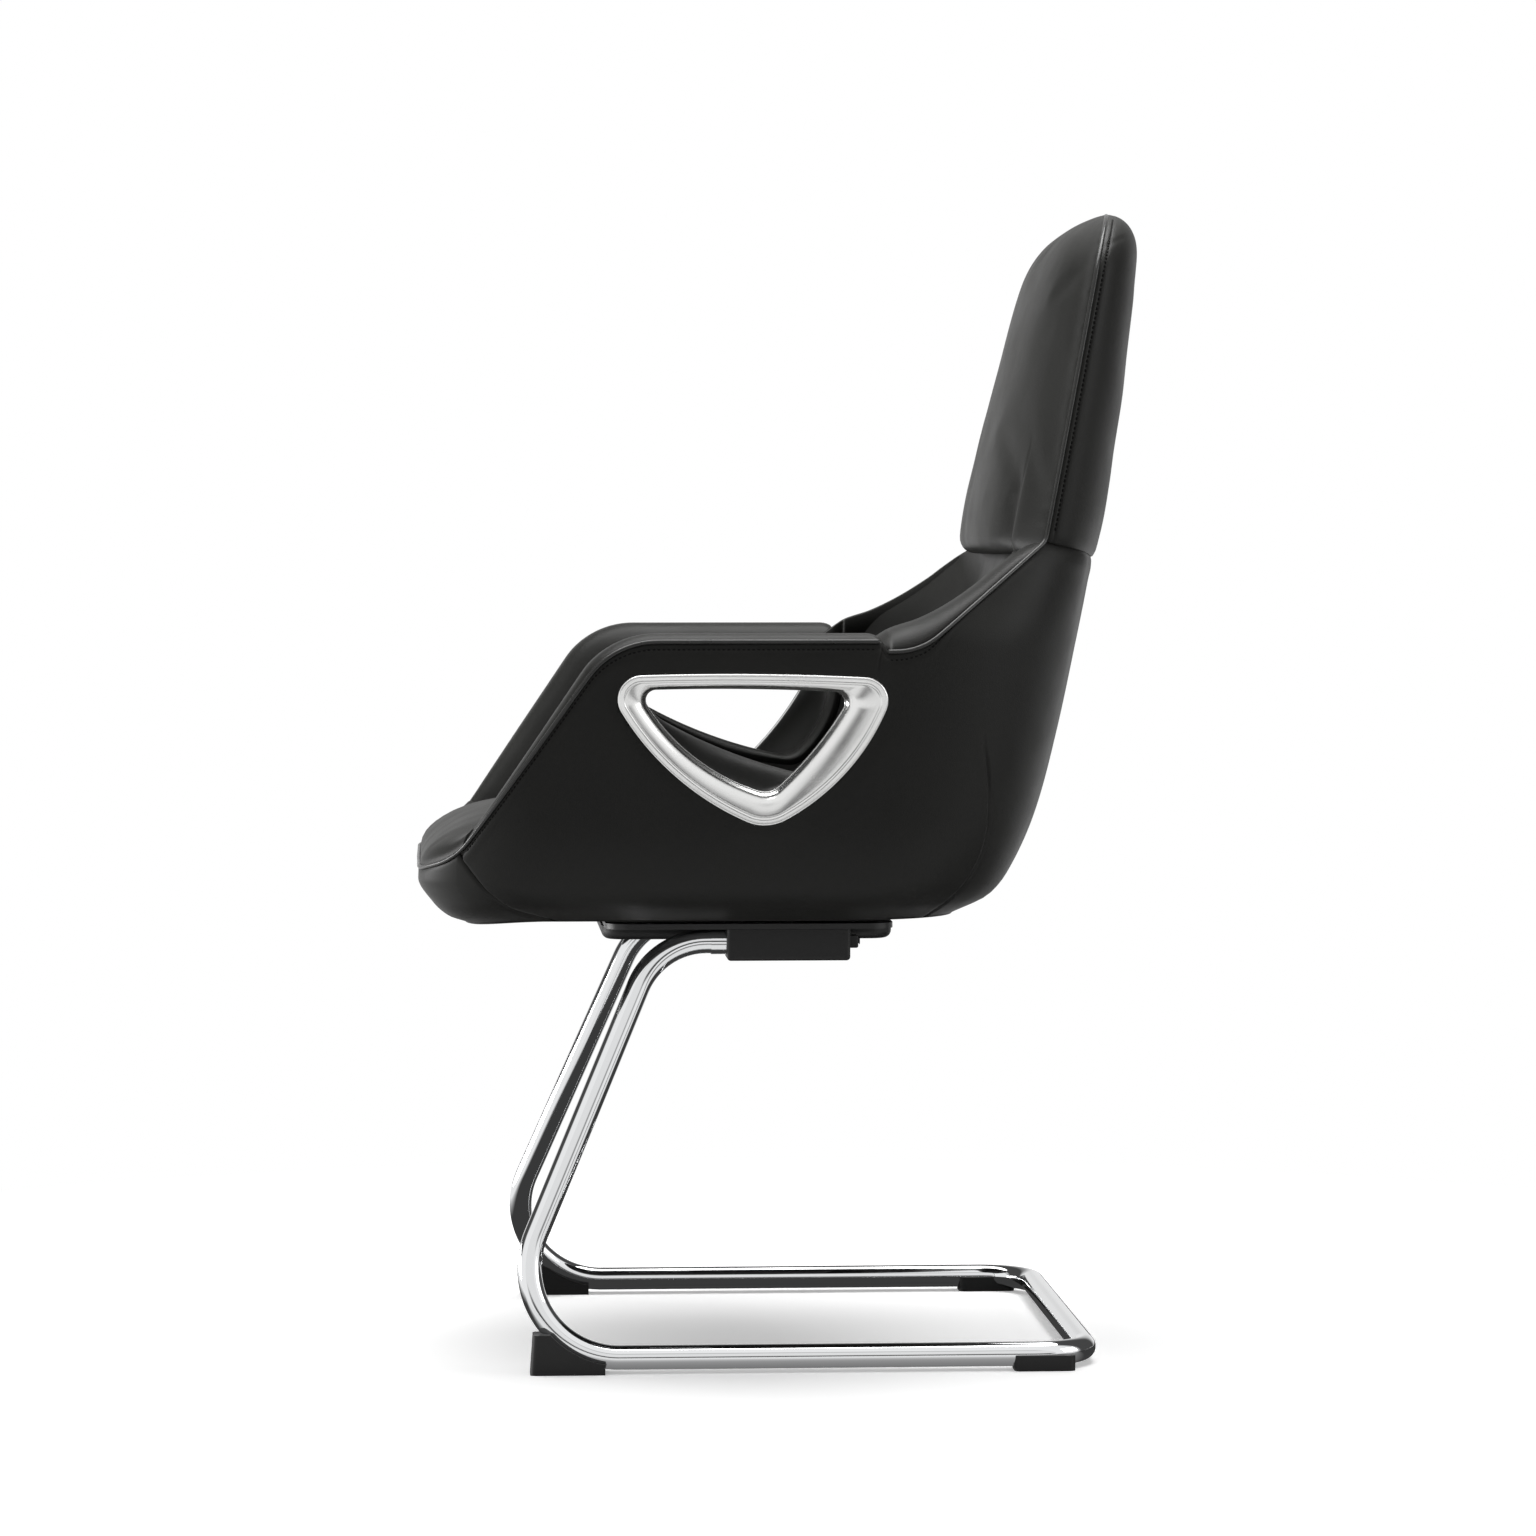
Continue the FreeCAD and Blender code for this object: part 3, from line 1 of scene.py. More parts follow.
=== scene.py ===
import bpy
import math
import mathutils
import numpy as np
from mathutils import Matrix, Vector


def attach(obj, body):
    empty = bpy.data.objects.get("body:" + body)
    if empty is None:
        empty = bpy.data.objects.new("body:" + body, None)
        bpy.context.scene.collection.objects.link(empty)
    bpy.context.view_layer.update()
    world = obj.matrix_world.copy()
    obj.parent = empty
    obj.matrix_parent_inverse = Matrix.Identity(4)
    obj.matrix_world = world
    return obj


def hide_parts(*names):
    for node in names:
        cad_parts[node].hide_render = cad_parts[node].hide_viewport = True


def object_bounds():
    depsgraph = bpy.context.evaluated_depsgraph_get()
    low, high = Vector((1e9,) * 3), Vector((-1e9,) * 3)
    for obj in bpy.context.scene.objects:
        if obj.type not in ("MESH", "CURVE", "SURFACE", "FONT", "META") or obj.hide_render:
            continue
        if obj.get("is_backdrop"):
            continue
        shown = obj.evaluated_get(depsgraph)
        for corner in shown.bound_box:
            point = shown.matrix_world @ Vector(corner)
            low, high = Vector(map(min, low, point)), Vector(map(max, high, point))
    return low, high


# Executive visitor chair: padded leather tub, looped arms, chromed cantilever sled.
# Lengths are worked out in millimetres with the nose at y = -336.5, as measured, then put into Blender
# in metres and moved back by depthShift, so that the middle of the depth lies on the part's origin.
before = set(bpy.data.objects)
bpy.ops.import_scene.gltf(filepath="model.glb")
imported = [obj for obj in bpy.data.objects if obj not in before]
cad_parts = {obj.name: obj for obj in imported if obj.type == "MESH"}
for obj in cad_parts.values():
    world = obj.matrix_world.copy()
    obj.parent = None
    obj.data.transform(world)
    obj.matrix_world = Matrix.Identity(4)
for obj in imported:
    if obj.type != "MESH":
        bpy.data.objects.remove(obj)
cadLow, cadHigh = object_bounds()
mm = 0.001
depthShift = 3.5
print("frame loaded,", len(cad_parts), "nodes")


# Numbers and curves

def curve(*stations):
    # Monotone cubic through (place, value) stations: harmonic mean tangents, so it never overshoots.
    x, y = np.array(stations, float).T
    h = np.diff(x)
    s = np.diff(y) / h
    both = s[1:] + s[:-1]
    rising = s[1:] * s[:-1] > 0
    inner = np.where(rising, 2 * s[1:] * s[:-1] / np.where(rising, both, 1), 0)
    m = np.concatenate([s[:1], inner, s[-1:]])

    def at(q):
        q = np.clip(np.asarray(q, float), x[0], x[-1])
        k = np.clip(np.searchsorted(x, q, "right") - 1, 0, len(h) - 1)
        t = (q - x[k]) / h[k]
        ends = (1 + 2 * t) * (1 - t) ** 2 * y[k] + t * t * (3 - 2 * t) * y[k + 1]
        return ends + h[k] * (t * (1 - t) ** 2 * m[k] - t * t * (1 - t) * m[k + 1])
    return at


def ease(q):
    # Smooth step from 0 to 1.
    q = np.clip(q, 0, 1)
    return q * q * (3 - 2 * q)


def unit(v):
    # Vectors divided by their lengths.
    return v / np.maximum(np.linalg.norm(v, axis=-1, keepdims=True), 1e-9)


def spread(low, high, step, spots, fine):
    # Places about one step apart that draw together to a fine spacing at each spot.
    x = np.linspace(low, high, 20001)
    gap = np.minimum(step, fine + 0.3 * np.abs(x[:, None] - np.array(spots)).min(1))
    count = np.concatenate([[0], np.cumsum(np.diff(x) / gap[:-1])])
    return np.interp(np.linspace(0, count[-1], int(count[-1]) + 2), count, x)


def straightShares(a, b, step):
    # Shares of a straight run, about one step apart, without its end.
    count = max(2, int(np.linalg.norm(b - a) / step))
    return np.linspace(0, 1, count, endpoint=False)[1 if count > 2 else 0:, None]


def roundedPath(corners, radii, step):
    # Straight runs joined by tangent arcs, sampled about one step apart.
    corners = np.array(corners, float)
    runs = []
    start = corners[0]
    for k, radius in enumerate(radii):
        corner = corners[k + 1]
        back = unit(corners[k] - corner)
        ahead = unit(corners[k + 2] - corner)
        half = math.acos(np.clip(back @ ahead, -1, 1)) / 2
        enter = corner + back * radius / math.tan(half)
        hub = corner + unit(back + ahead) * radius / math.sin(half)
        swing = math.pi - 2 * half
        a = np.linspace(0, swing, max(8, int(swing * radius / step)))[:, None]
        bend = hub + radius * (np.cos(a) * unit(enter - hub) - np.sin(a) * back)
        runs.append(start + (enter - start) * straightShares(start, enter, step))
        runs.append(bend)
        start = bend[-1]
    shares = np.append(straightShares(start, corners[-1], step), 1)[:, None]
    runs.append(start + (corners[-1] - start) * shares)
    return np.concatenate(runs)


def through(values, count):
    # A smooth run of count values through evenly placed ones.
    return curve(*zip(np.linspace(0, 1, len(values)), values))(np.linspace(0, 1, count))


def runAlong(path):
    # Distance along a path at each of its points.
    return np.concatenate([[0], np.cumsum(np.linalg.norm(np.diff(path, axis=0), axis=1))])


def pointsAt(path, places):
    # Points at given distances along a path.
    run = runAlong(path)
    return np.stack([np.interp(places, run, path[:, k]) for k in range(3)], -1)


def ripple(s, seed, waves):
    # Sum of sines with set wavelengths and phases: an uneven ripple that is the same on every run.
    phases = np.random.default_rng(seed).uniform(0, 2 * np.pi, len(waves))
    return sum(np.sin(2 * np.pi * s / w + p) for w, p in zip(waves, phases)) / math.sqrt(len(waves))


# Meshes

def gridFaces(rows, columns, wrapRows=False, wrapColumns=False):
    # Quads between neighbouring rows and columns, closed round where it is asked.
    index = np.arange(rows * columns).reshape(rows, columns)
    if wrapRows:
        index = np.vstack([index, index[:1]])
    if wrapColumns:
        index = np.hstack([index, index[:, :1]])
    return np.stack([index[:-1, :-1], index[:-1, 1:], index[1:, 1:], index[1:, :-1]], -1).reshape(-1, 4)


def ladder(ring):
    # Quads across a closed ring, from each point to the one facing it.
    half = len(ring) // 2
    a = ring[:half]
    b = ring[::-1][:half]
    return np.stack([a[:-1], a[1:], b[1:], b[:-1]], -1)


def turned(points, faces, inside=None):
    # Faces turned so that they look away from the inside point, or outwards on a closed form.
    p = points.reshape(-1, 3)[faces]
    normal = np.cross(p[:, 2] - p[:, 0], p[:, 3] - p[:, 1])
    middle = p.mean(1) - (0 if inside is None else np.array(inside, float))
    return faces if (middle * normal).sum() > 0 else faces[:, ::-1]


def loftFaces(points):
    # Rings stacked along the rows, with both ends closed.
    rows, columns = points.shape[:2]
    index = np.arange(rows * columns).reshape(rows, columns)
    sides = gridFaces(rows, columns, wrapColumns=True)
    return turned(points, np.vstack([sides, ladder(index[0])[:, ::-1], ladder(index[-1])]))


def slab(front, back):
    # Closed pad between two sheets of the same grid.
    return np.concatenate([front, back[:, ::-1]], 1)


def outwards(points, inside):
    # Unit normals of a sheet, on the side away from an inside point.
    out = unit(np.cross(np.gradient(points, axis=1), np.gradient(points, axis=0)))
    return out * np.sign((out * (points - inside)).sum())


def facesBeyond(far, limit):
    # Faces of a grid whose corners all lie further than the limit from an outline.
    faces = gridFaces(*far.shape)
    return faces[far.reshape(-1)[faces].min(1) > limit]


def putPiece(name, points, faces, finish, stands=()):
    # A mesh with its finish on the root body, in place of the CAD nodes that it stands for.
    points = np.asarray(points, float).reshape(-1, 3)
    mesh = bpy.data.meshes.new(name)
    mesh.from_pydata((points + [0, depthShift, 0]) * mm, [], faces.tolist())
    mesh.polygons.foreach_set("use_smooth", np.ones(len(mesh.polygons), bool))
    mesh.materials.append(finish)
    piece = bpy.data.objects.new(name, mesh)
    bpy.context.scene.collection.objects.link(piece)
    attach(piece, "root")
    if stands:
        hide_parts(*stands)
    return piece


def padPiece(name, points, faces, stands):
    # Leather over padding.
    piece = putPiece(name, points, faces, leather, stands)
    return piece


def thicken(piece, depth):
    # A sheet given its thickness inwards.
    wall = piece.modifiers.new("thickness", "SOLIDIFY")
    wall.thickness = depth * mm
    wall.offset = -1


def mirrored(points):
    # Points on the other side of the chair's middle plane.
    return points * np.array([-1.0, 1.0, 1.0])


def bothSides(points):
    # The left form and its mirror image, each with the first word of its names.
    return ("left", points), ("right", mirrored(points))


def carried(base, section, up):
    # A section (x, up) set at each point of a line.
    return base[:, None] + section[..., :1] * np.array([1.0, 0, 0]) + section[..., 1:] * up


def sweep(path, towards, section):
    # A closed section (across, up) carried along a path; towards gives the across direction.
    along = unit(np.gradient(path, axis=0))
    across = unit(towards - (towards * along).sum(1, keepdims=True) * along)
    up = np.cross(along, across)
    return path[:, None] + section[..., :1] * across[:, None] + section[..., 1:] * up[:, None]


def circle(radius, sides):
    # Section of even points round a circle.
    a = np.linspace(0, 2 * np.pi, sides, endpoint=False)
    return radius * np.stack([np.cos(a), np.sin(a)], -1)[None]


def evenly(path, pitch):
    # Points and directions one pitch apart along a path.
    places = np.arange(pitch / 2, runAlong(path)[-1], pitch)
    at = pointsAt(path, places)
    return at, unit(pointsAt(path, places + 0.5) - at)


clothFrames = 20  # the fill has settled by then


def inflate(piece, sewn, setting):
    # Cloth filled from inside, held at its back and along its seams; no point moves further than the cap.
    held = slab(sewn[..., None], np.ones_like(sewn)[..., None]).reshape(-1)
    mesh = piece.data
    rest = np.zeros(len(mesh.vertices) * 3, np.float32)
    mesh.vertices.foreach_get("co", rest)
    group = piece.vertex_groups.new(name="sewn")
    group.add(np.flatnonzero(held).tolist(), 1.0, "REPLACE")
    fill = piece.modifiers.new("fill", "CLOTH")
    cloth = fill.settings
    cloth.quality = 6
    cloth.mass = 0.4
    cloth.tension_stiffness = cloth.compression_stiffness = 25
    cloth.shear_stiffness = 15
    cloth.bending_stiffness = 6
    cloth.use_pressure = True
    cloth.uniform_pressure_force = setting["pressure"]
    cloth.vertex_group_mass = "sewn"
    cloth.effector_weights.gravity = 0
    fill.collision_settings.use_collision = False
    fill.collision_settings.use_self_collision = False
    scene = bpy.context.scene
    for step in range(1, clothFrames + 1):
        scene.frame_set(step)
    shown = piece.evaluated_get(bpy.context.evaluated_depsgraph_get()).data
    moved = np.zeros_like(rest)
    shown.vertices.foreach_get("co", moved)
    shift = (moved - rest).reshape(-1, 3)
    length = np.linalg.norm(shift, axis=1, keepdims=True)
    shift *= np.minimum(1, setting["cap"] * mm / np.maximum(length, 1e-9))
    piece.modifiers.remove(fill)
    mesh.vertices.foreach_set("co", (rest.reshape(-1, 3) + shift).ravel())
    mesh.update()
    scene.frame_set(1)
    print(piece.name, "filled, largest move", round(float(length.max()) / mm, 1), "mm")


# Materials

def linearColour(code):
    # sRGB hex to the linear values that the shaders use.
    s = np.array([int(code[k:k + 2], 16) for k in (1, 3, 5)]) / 255
    return tuple(np.where(s <= 0.04045, s / 12.92, ((s + 0.055) / 1.055) ** 2.4)) + (1.0,)


def addNode(tree, kind, inputs=None, **settings):
    # A node with its settings; each input is a value or a link from another node.
    node = tree.nodes.new(kind)
    for name, value in settings.items():
        setattr(node, name, value)
    for name, value in (inputs or {}).items():
        if isinstance(value, bpy.types.NodeSocket):
            tree.links.new(value, node.inputs[name])
        else:
            node.inputs[name].default_value = value
    return node


def newMaterial(name):
    # An empty material, with the Object coordinates that its patterns read.
    material = bpy.data.materials.new(name)
    material.use_nodes = True
    tree = material.node_tree
    tree.nodes.clear()
    place = addNode(tree, "ShaderNodeTexCoord").outputs["Object"]
    return material, tree, place


def finished(material, tree, inputs):
    # The material, closed by one Principled shader.
    shader = addNode(tree, "ShaderNodeBsdfPrincipled", inputs)
    addNode(tree, "ShaderNodeOutputMaterial", {"Surface": shader.outputs[0]})
    return material


def perMetre(size):
    # Texture scale that makes one pattern cell the given size in millimetres.
    return 1000.0 / size


def mixedColour(tree, factor, dark, light):
    # From the dark colour to the light one along a pattern.
    ramp = addNode(tree, "ShaderNodeValToRGB", {"Fac": factor})
    ramp.color_ramp.elements[0].color = linearColour(dark)
    ramp.color_ramp.elements[1].color = linearColour(light)
    return ramp.outputs["Color"]


def blackLeather(name, sheen, smoothest):
    # Corrected-grain upholstery leather: pebbles about 1 mm across, drawn at 2 mm so that they show,
    # pores between them, a soft sheen and slow changes of tone where the hide was pulled over the foam.
    # On the piping it is stretched over a cord, so it shines more.
    material, tree, place = newMaterial(name)
    pebble = addNode(tree, "ShaderNodeTexVoronoi", {"Vector": place, "Scale": perMetre(2.0),
                                                    "Randomness": 1.0}, feature="DISTANCE_TO_EDGE")
    pores = addNode(tree, "ShaderNodeTexNoise", {"Vector": place, "Scale": perMetre(0.9), "Detail": 3.0})
    tone = addNode(tree, "ShaderNodeTexNoise", {"Vector": place, "Scale": perMetre(70), "Detail": 4.0,
                                                "Roughness": 0.55})
    height = addNode(tree, "ShaderNodeMath", {0: pebble.outputs["Distance"], 1: pores.outputs["Fac"]},
                     operation="ADD")
    bump = addNode(tree, "ShaderNodeBump", {"Height": height.outputs[0], "Strength": 0.22,
                                            "Distance": 0.0004})
    rough = addNode(tree, "ShaderNodeMapRange", {"Value": tone.outputs["Fac"], "From Min": 0.3,
                                                 "From Max": 0.7, "To Min": smoothest,
                                                 "To Max": smoothest + 0.1})
    return finished(material, tree, {
        "Base Color": mixedColour(tree, tone.outputs["Fac"], "#272726", "#2f2f2d"),
        "Roughness": rough.outputs["Result"], "Specular IOR Level": sheen, "IOR": 1.5,
        "Normal": bump.outputs["Normal"]})


def seamThread():
    # Bonded polyester thread: matt black with a fine twist across it, drawn at 1 mm.
    material, tree, place = newMaterial("black_bonded_thread")
    twist = addNode(tree, "ShaderNodeTexWave", {"Vector": place, "Scale": perMetre(1.0), "Distortion": 2.0})
    bump = addNode(tree, "ShaderNodeBump", {"Height": twist.outputs["Fac"], "Strength": 0.3,
                                            "Distance": 0.0003})
    return finished(material, tree, {
        "Base Color": mixedColour(tree, twist.outputs["Fac"], "#0d0d0c", "#171716"), "Roughness": 0.6,
        "Specular IOR Level": 0.1, "Normal": bump.outputs["Normal"]})


def chromedSteel():
    # Chromed steel tube: mirror bright, with the faint haze of handling.
    material, tree, place = newMaterial("chromed_steel_tube")
    haze = addNode(tree, "ShaderNodeTexNoise", {"Vector": place, "Scale": perMetre(45), "Detail": 5.0})
    rough = addNode(tree, "ShaderNodeMapRange", {"Value": haze.outputs["Fac"], "From Min": 0.35,
                                                 "From Max": 0.75, "To Min": 0.035, "To Max": 0.11})
    return finished(material, tree, {
        "Base Color": linearColour("#e6e7e8"), "Metallic": 1.0, "Roughness": rough.outputs["Result"]})


def polishedAluminium():
    # Die-cast aluminium, polished and clear coated: broad soft reflections and a very fine grain.
    material, tree, place = newMaterial("polished_cast_aluminium")
    grain = addNode(tree, "ShaderNodeTexNoise", {"Vector": place, "Scale": perMetre(1.2), "Detail": 2.0})
    haze = addNode(tree, "ShaderNodeTexNoise", {"Vector": place, "Scale": perMetre(30), "Detail": 3.0})
    rough = addNode(tree, "ShaderNodeMapRange", {"Value": haze.outputs["Fac"], "From Min": 0.3,
                                                 "From Max": 0.7, "To Min": 0.2, "To Max": 0.28})
    bump = addNode(tree, "ShaderNodeBump", {"Height": grain.outputs["Fac"], "Strength": 0.03,
                                            "Distance": 0.0002})
    return finished(material, tree, {
        "Base Color": linearColour("#e6e6e5"), "Metallic": 1.0, "Roughness": rough.outputs["Result"],
        "Normal": bump.outputs["Normal"]})


def mouldedPlastic():
    # Glass-filled nylon with a spark-eroded mould texture of about 0.8 mm, drawn at 1.2 mm so that it shows:
    # a dry black with a low sheen.
    material, tree, place = newMaterial("black_moulded_nylon")
    spark = addNode(tree, "ShaderNodeTexNoise", {"Vector": place, "Scale": perMetre(1.2), "Detail": 4.0})
    bump = addNode(tree, "ShaderNodeBump", {"Height": spark.outputs["Fac"], "Strength": 0.25,
                                            "Distance": 0.0004})
    rough = addNode(tree, "ShaderNodeMapRange", {"Value": spark.outputs["Fac"], "To Min": 0.42,
                                                 "To Max": 0.62})
    return finished(material, tree, {
        "Base Color": mixedColour(tree, spark.outputs["Fac"], "#161616", "#1e1e1e"),
        "Roughness": rough.outputs["Result"], "Specular IOR Level": 0.4, "Normal": bump.outputs["Normal"]})


def powderCoat():
    # Powder-coated steel: black with an orange-peel ripple of about 2.5 mm.
    material, tree, place = newMaterial("black_powder_coat")
    peel = addNode(tree, "ShaderNodeTexNoise", {"Vector": place, "Scale": perMetre(2.5), "Detail": 2.0})
    bump = addNode(tree, "ShaderNodeBump", {"Height": peel.outputs["Fac"], "Strength": 0.2,
                                            "Distance": 0.0005})
    return finished(material, tree, {
        "Base Color": mixedColour(tree, peel.outputs["Fac"], "#121212", "#191919"), "Roughness": 0.38,
        "Normal": bump.outputs["Normal"]})


def zincSteel():
    # Zinc-plated fasteners: cool grey metal with a cloudy passivation.
    material, tree, place = newMaterial("zinc_plated_steel")
    cloud = addNode(tree, "ShaderNodeTexNoise", {"Vector": place, "Scale": perMetre(4), "Detail": 3.0})
    rough = addNode(tree, "ShaderNodeMapRange", {"Value": cloud.outputs["Fac"], "To Min": 0.28,
                                                 "To Max": 0.45})
    return finished(material, tree, {
        "Base Color": mixedColour(tree, cloud.outputs["Fac"], "#8d9093", "#b4b6b6"), "Metallic": 1.0,
        "Roughness": rough.outputs["Result"]})


def birchPlywood():
    # Birch plywood: pale veneer with grain lines about 6 mm apart running across the chair.
    material, tree, place = newMaterial("birch_plywood")
    lie = addNode(tree, "ShaderNodeMapping", {"Vector": place, "Scale": (0.12, 1.0, 1.0)})
    grain = addNode(tree, "ShaderNodeTexNoise", {"Vector": lie.outputs[0], "Scale": perMetre(6),
                                                 "Detail": 6.0, "Distortion": 0.6})
    return finished(material, tree, {
        "Base Color": mixedColour(tree, grain.outputs["Fac"], "#a5865c", "#d3b98c"), "Roughness": 0.6})


def dustCloth():
    # Spunbonded dust cloth under the seat: thin black felt with a point-bond pattern 2 mm apart.
    material, tree, place = newMaterial("black_spunbond_cloth")
    bond = addNode(tree, "ShaderNodeTexVoronoi", {"Vector": place, "Scale": perMetre(2), "Randomness": 0.2})
    bump = addNode(tree, "ShaderNodeBump", {"Height": bond.outputs["Distance"], "Strength": 0.4,
                                            "Distance": 0.0005})
    return finished(material, tree, {
        "Base Color": mixedColour(tree, bond.outputs["Distance"], "#131313", "#1c1c1c"), "Roughness": 0.85,
        "Specular IOR Level": 0.25, "Normal": bump.outputs["Normal"]})


leather = blackLeather("black_upholstery_leather", 0.16, 0.4)
pipingLeather = blackLeather("black_piping_leather", 0.5, 0.24)
thread = seamThread()
chrome = chromedSteel()
aluminium = polishedAluminium()
nylon = mouldedPlastic()
coat = powderCoat()
zinc = zincSteel()
plywood = birchPlywood()
felt = dustCloth()
print("materials made")


# Outer form of the tub, by height above the shell underside

shell = {"noseY": -336.5, "backY": 336.5, "baseZ": 402.0, "half": 310.0, "lining": 56.6}
sideInset = curve((0, 98), (18, 58), (38, 42), (93, 20), (168, 6), (248, 0), (298, 28), (350, 69))
noseInset = curve((0, 42), (5, 27), (18, 13), (38, 0), (350, 0))
rearInset = curve((0, 176), (18, 140), (38, 124), (93, 99), (168, 79), (248, 62), (298, 52), (350, 43))
rearWide = curve((0, 120), (38, 158), (93, 176), (350, 176))
rearCrown = curve((0, 9), (38, 15), (93, 19), (350, 19))
frontRound = curve((0, 88), (38, 110), (350, 110))
innerBack = curve((0, 204), (78, 187), (158, 165), (238, 150), (329, 132), (350, 128))


def foldedTurn(t):
    # The right half's turns as the left half's.
    return np.abs(np.where(t > 5, 10 - t, t))


def planParts(h):
    # Half width, nose, rear centre and front corner radius, then the crowned back's half width, drop and end
    # slope, and the radius of the rear corner that joins back and side.
    w = shell["half"] - sideInset(h)
    y0 = shell["noseY"] + noseInset(h)
    y1 = shell["backY"] - rearInset(h)
    wide = rearWide(h)
    drop = rearCrown(h)
    slope = np.arctan(2 * drop / wide)
    return w, y0, y1, frontRound(h), wide, drop, slope, (w - wide) / (1 - np.sin(slope))


def skin(turn, h):
    # Outer skin by turn: 0-1 front flat, 1-2 front corner arc, 2-3 side, 3-4 rear corner arc, 4-5 crowned
    # back, then mirrored.
    side = np.where((turn < 0) | (turn > 5), -1.0, 1.0)
    t = foldedTurn(turn)
    w, y0, y1, rf, wide, drop, slope, rr = planParts(h)
    rear = y1 - drop - rr * np.cos(slope)
    a = np.clip(t - 1, 0, 1) * np.pi / 2
    b = np.clip(t - 3, 0, 1) * (np.pi / 2 - slope)
    stretch = [t < 1, t < 2, t < 3, t < 4]
    x = np.select(stretch, [t * (w - rf), w - rf + rf * np.sin(a), w + 0 * t, w - rr + rr * np.cos(b)],
                  (5 - t) * wide)
    y = np.select(stretch, [y0 + 0 * t, y0 + rf - rf * np.cos(a), y0 + rf + (t - 2) * (rear - y0 - rf),
                            rear + rr * np.sin(b)], y1 - drop * (5 - t) ** 2)
    return np.stack([side * x, y + 0 * x, shell["baseZ"] + h + 0 * x], -1)


def skinTurn(y, h):
    # Turn of the skin point that the side view shows at y.
    w, y0, y1, rf, wide, drop, slope, rr = planParts(h)
    front = y0 + rf
    rear = y1 - drop - rr * np.cos(slope)
    a = np.arccos(np.clip((front - y) / rf, -1, 1)) * 2 / np.pi
    b = np.arcsin(np.clip((y - rear) / rr, -1, 1)) / (np.pi / 2 - slope)
    across = 5 - np.sqrt(np.clip((y1 - y) / drop, 0, 1))
    return np.select([y < front, y < rear, y < y1 - drop],
                     [1 + a, 2 + (y - front) / (rear - front), 3 + b], across)


def skinX(y, z):
    # Half width of the skin at a side view point.
    return skin(skinTurn(y, z - shell["baseZ"]), z - shell["baseZ"])[..., 0]


# Side view lines: nose seam, arm piping, wing piping, seam under the head, apron seam
frontLine = roundedPath([(-336.5, 448.5), (-304, 461), (-165, 655), (73, 655)], [60, 75], 2)
noseLine = frontLine[frontLine[:, 0] < -297]
armLine = frontLine[frontLine[:, 0] > -304]
wingLine = roundedPath([(74, 646), (106, 646), (225, 743)], [60], 3)
headLine = np.linspace((225.5, 742.9), (288.5, 729.0), 40)
topLine = np.concatenate([armLine, wingLine, headLine])
apronZ = curve((-302, 464.8), (-290, 447.2), (-274.5, 429), (-251, 412.2), (-214.5, 402))


def byTurn(line):
    # Height of a side view line above the shell underside, by turn of the skin.
    turn = skinTurn(line[:, 0], line[:, 1] - shell["baseZ"])
    order = np.argsort(turn, kind="stable")
    return lambda t: np.interp(t, turn[order], line[order, 1] - shell["baseZ"])


coverTop = byTurn(topLine)
noseTop = byTurn(noseLine)
apronY = np.linspace(-302, -214.5, 60)
apronLine = np.stack([apronY, apronZ(apronY)], -1)
apronTop = byTurn(apronLine)
apronTurns = skinTurn(apronLine[[0, -1], 0], apronLine[[0, -1], 1] - shell["baseZ"])


def rolled(d, width, depth):
    # How far a sewn edge turns in, at a distance d from the seam.
    return -depth * np.clip(1 - d / width, 0, 1) ** 2


# Arm opening

ringPlane = {"y": -30.0, "z": 560.0, "tilt": math.radians(8.4), "below": 69.0, "above": 68.0}
leanSin, leanCos = math.sin(ringPlane["tilt"]), math.cos(ringPlane["tilt"])
# Outlines: middles of the three corner arcs, their radii, and the radii of the long arcs that join them
ringOuter = (((-110, 45), (-1, -29), (86, 43)), (22, 40, 22), (250, 200, 2500))
ringInner = (((-97, 42), (0, -24), (60, 39)), (10, 18, 11), (190, 315, 2000))
holeInner = (((-95, 36), (50, -14), (78, 36)), (14, 21, 18), (450, 100, 1500))


def grown(outline, d):
    # The outline moved outwards by d.
    return outline[0], tuple(r + d for r in outline[1]), tuple(r + d for r in outline[2])


def between(a, b, share):
    # The outline part of the way from one to another.
    return [np.array(p) * (1 - share) + np.array(q) * share for p, q in zip(a, b)]


def threeCorner(outline, count=40):
    # Three corner arcs joined tangentially by three long arcs, the same number of points on each.
    spots, corners, bulges = (np.array(v, float) for v in outline)
    nextSpot = np.roll(spots, -1, 0)
    nextCorner = np.roll(corners, -1)
    span = np.linalg.norm(nextSpot - spots, axis=1)
    along = (span ** 2 + (bulges - corners) ** 2 - (bulges - nextCorner) ** 2) / (2 * span)
    off = np.sqrt((bulges - corners) ** 2 - along ** 2)
    way = (nextSpot - spots) / span[:, None]
    hubs = spots + way * along[:, None] + np.stack([-way[:, 1], way[:, 0]], -1) * off[:, None]
    enter = unit(spots - np.roll(hubs, 1, 0))
    leave = unit(spots - hubs)
    arrive = unit(nextSpot - hubs)
    share = np.linspace(0, 1, count, endpoint=False)[:, None]

    def fan(hub, radius, a, b):
        start = math.atan2(a[1], a[0])
        swing = (math.atan2(b[1], b[0]) - start + np.pi) % (2 * np.pi) - np.pi
        angle = start + swing * share
        return hub + radius * np.hstack([np.cos(angle), np.sin(angle)])
    arcs = [[fan(spots[k], corners[k], enter[k], leave[k]), fan(hubs[k], bulges[k], leave[k], arrive[k])]
            for k in range(3)]
    return np.concatenate([p for pair in arcs for p in pair])


